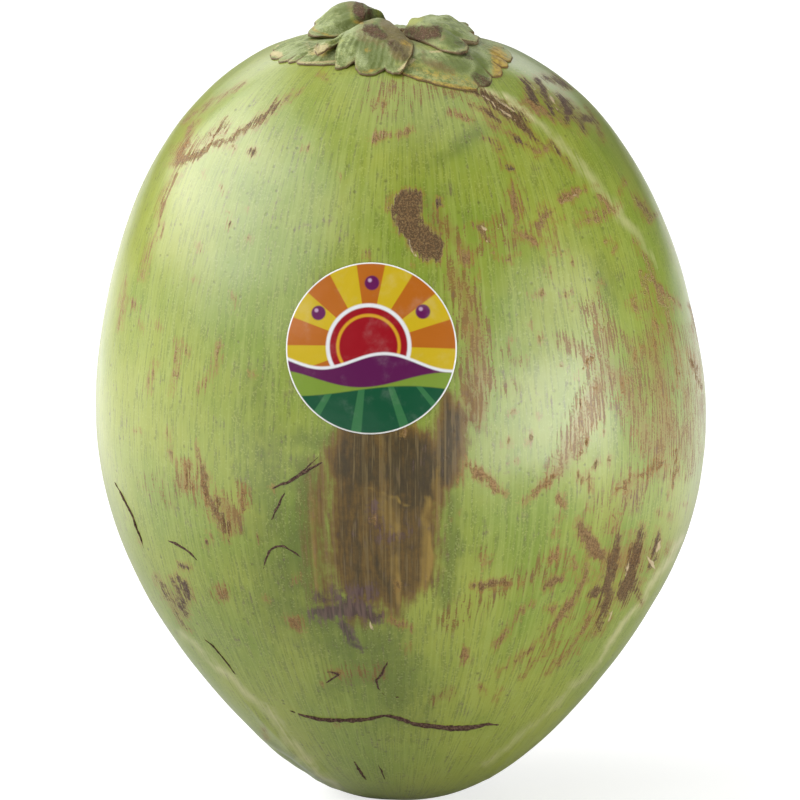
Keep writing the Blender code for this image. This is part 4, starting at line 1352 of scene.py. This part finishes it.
furrow = (right / (up - 0.25) * 13.0).step("SINE")
colour = blend(tree, inside(up - field) * ramp(furrow, 0.72, 0.86) * 0.55, colour, (0.060, 0.230, 0.075))
for x, y in BERRIES:
    colour = blend(tree, inside(away_from(x, y) - 0.085), colour, (0.120, 0.008, 0.085))
    colour = blend(tree, inside(away_from(x - 0.025, y + 0.03) - 0.022), colour, (0.500, 0.330, 0.480))
fade = noise(tree, spot, 160.0, 4.0, 0.6)
colour = blend(tree, ramp(fade, 0.50, 0.85) * 0.16, colour, (0.600, 0.600, 0.560))
colour = blend(tree, -inside(away_from(0.0, 0.0) - 0.985, 0.006) + 1.0, colour, (0.800, 0.800, 0.780))
creased = noise(tree, spot, 90.0, 3.0, 0.5) * 0.35 + noise(tree, spot, 420.0, 3.0, 0.6) * 0.08
dress(tree, shader, colour, creased, 0.5)


# Studio: a wide white table that glows white to the camera and, beside the fruit, glows in reflections only,
# a painted reflection on the sides of the rind; three soft panels on the left, one behind, one overhead, and
# a panel and a low card on the right.
TABLE_GLOW = 0.7
SHEEN_GLOW = 0.9
ROOM_GLOW = 0.075
bpy.ops.mesh.primitive_circle_add(vertices=96, radius=9.0, fill_type="NGON", location=(0.0, 0.0, -0.0002))
table = bpy.context.object
table.name = "table_top"
table_white = bpy.data.materials.new("table_white")
table.data.materials.append(table_white)
tree, shader = start_material(table_white, Base_Color=(0.5, 0.5, 0.5, 1.0), Roughness=0.9)
shader.inputs["Emission Color"].default_value = (1.0, 1.0, 1.0, 1.0)
seen_by = tree.nodes.new("ShaderNodeLightPath").outputs
place = tree.nodes.new("ShaderNodeTexCoord").outputs["Object"]
spot = new_node(tree, "ShaderNodeSeparateXYZ", Vector=place)
# Beside the fruit the table glows to glossy rays only: a painted reflection on the rind, not a lamp.
beside = ramp(Field(spot.outputs["X"]).step("ABSOLUTE"), 0.12, 0.32)
glow = Field(seen_by["Is Camera Ray"]) * TABLE_GLOW + Field(seen_by["Is Glossy Ray"]) * beside * SHEEN_GLOW
tree.links.new(glow.socket, shader.inputs["Emission Strength"])


def panel(name, place, aim, width, length, power):
    """A soft rectangular light that faces `aim`."""
    light = bpy.data.lights.new(name, "AREA")
    light.shape = "RECTANGLE"
    light.size = width
    light.size_y = length
    light.energy = power
    made = placed(name, light)
    made.location = place
    made.rotation_euler = (Vector(aim) - Vector(place)).to_track_quat("-Z", "Y").to_euler()
    made.visible_camera = False


panel("panel_left", (-1.15, -0.2, 1.35), (0.0, -0.2, 0.9), 3.4, 1.5, 41.0)
panel("panel_left_mid", (-1.3, -0.05, 0.90), (0.0, 0.0, 0.1), 1.3, 1.1, 12.5)
panel("panel_left_low", (-1.22, -0.2, 0.42), (0.0, -0.1, 0.4), 1.6, 0.8, 3.0)
panel("panel_back", (0.0, 1.4, 1.0), (0.0, 0.0, 0.1), 1.6, 1.0, 7.0)
panel("panel_top", (0.2, 0.0, 1.5), (0.0, 0.0, 0.1), 1.0, 1.0, 4.0)
panel("panel_right", (0.75, -0.41, 0.15), (0.0, 0.0, 0.08), 0.60, 0.55, 2.1)
panel("card_right", (0.44, -0.34, 0.012), (0.25, -0.2, 0.10), 0.6, 0.5, 4.2)
world = bpy.data.worlds.new("studio")
bpy.context.scene.world = world
world.use_nodes = True
room = world.node_tree.nodes["Background"]
room.inputs["Color"].default_value = (1.0, 1.0, 1.0, 1.0)
room.inputs["Strength"].default_value = ROOM_GLOW
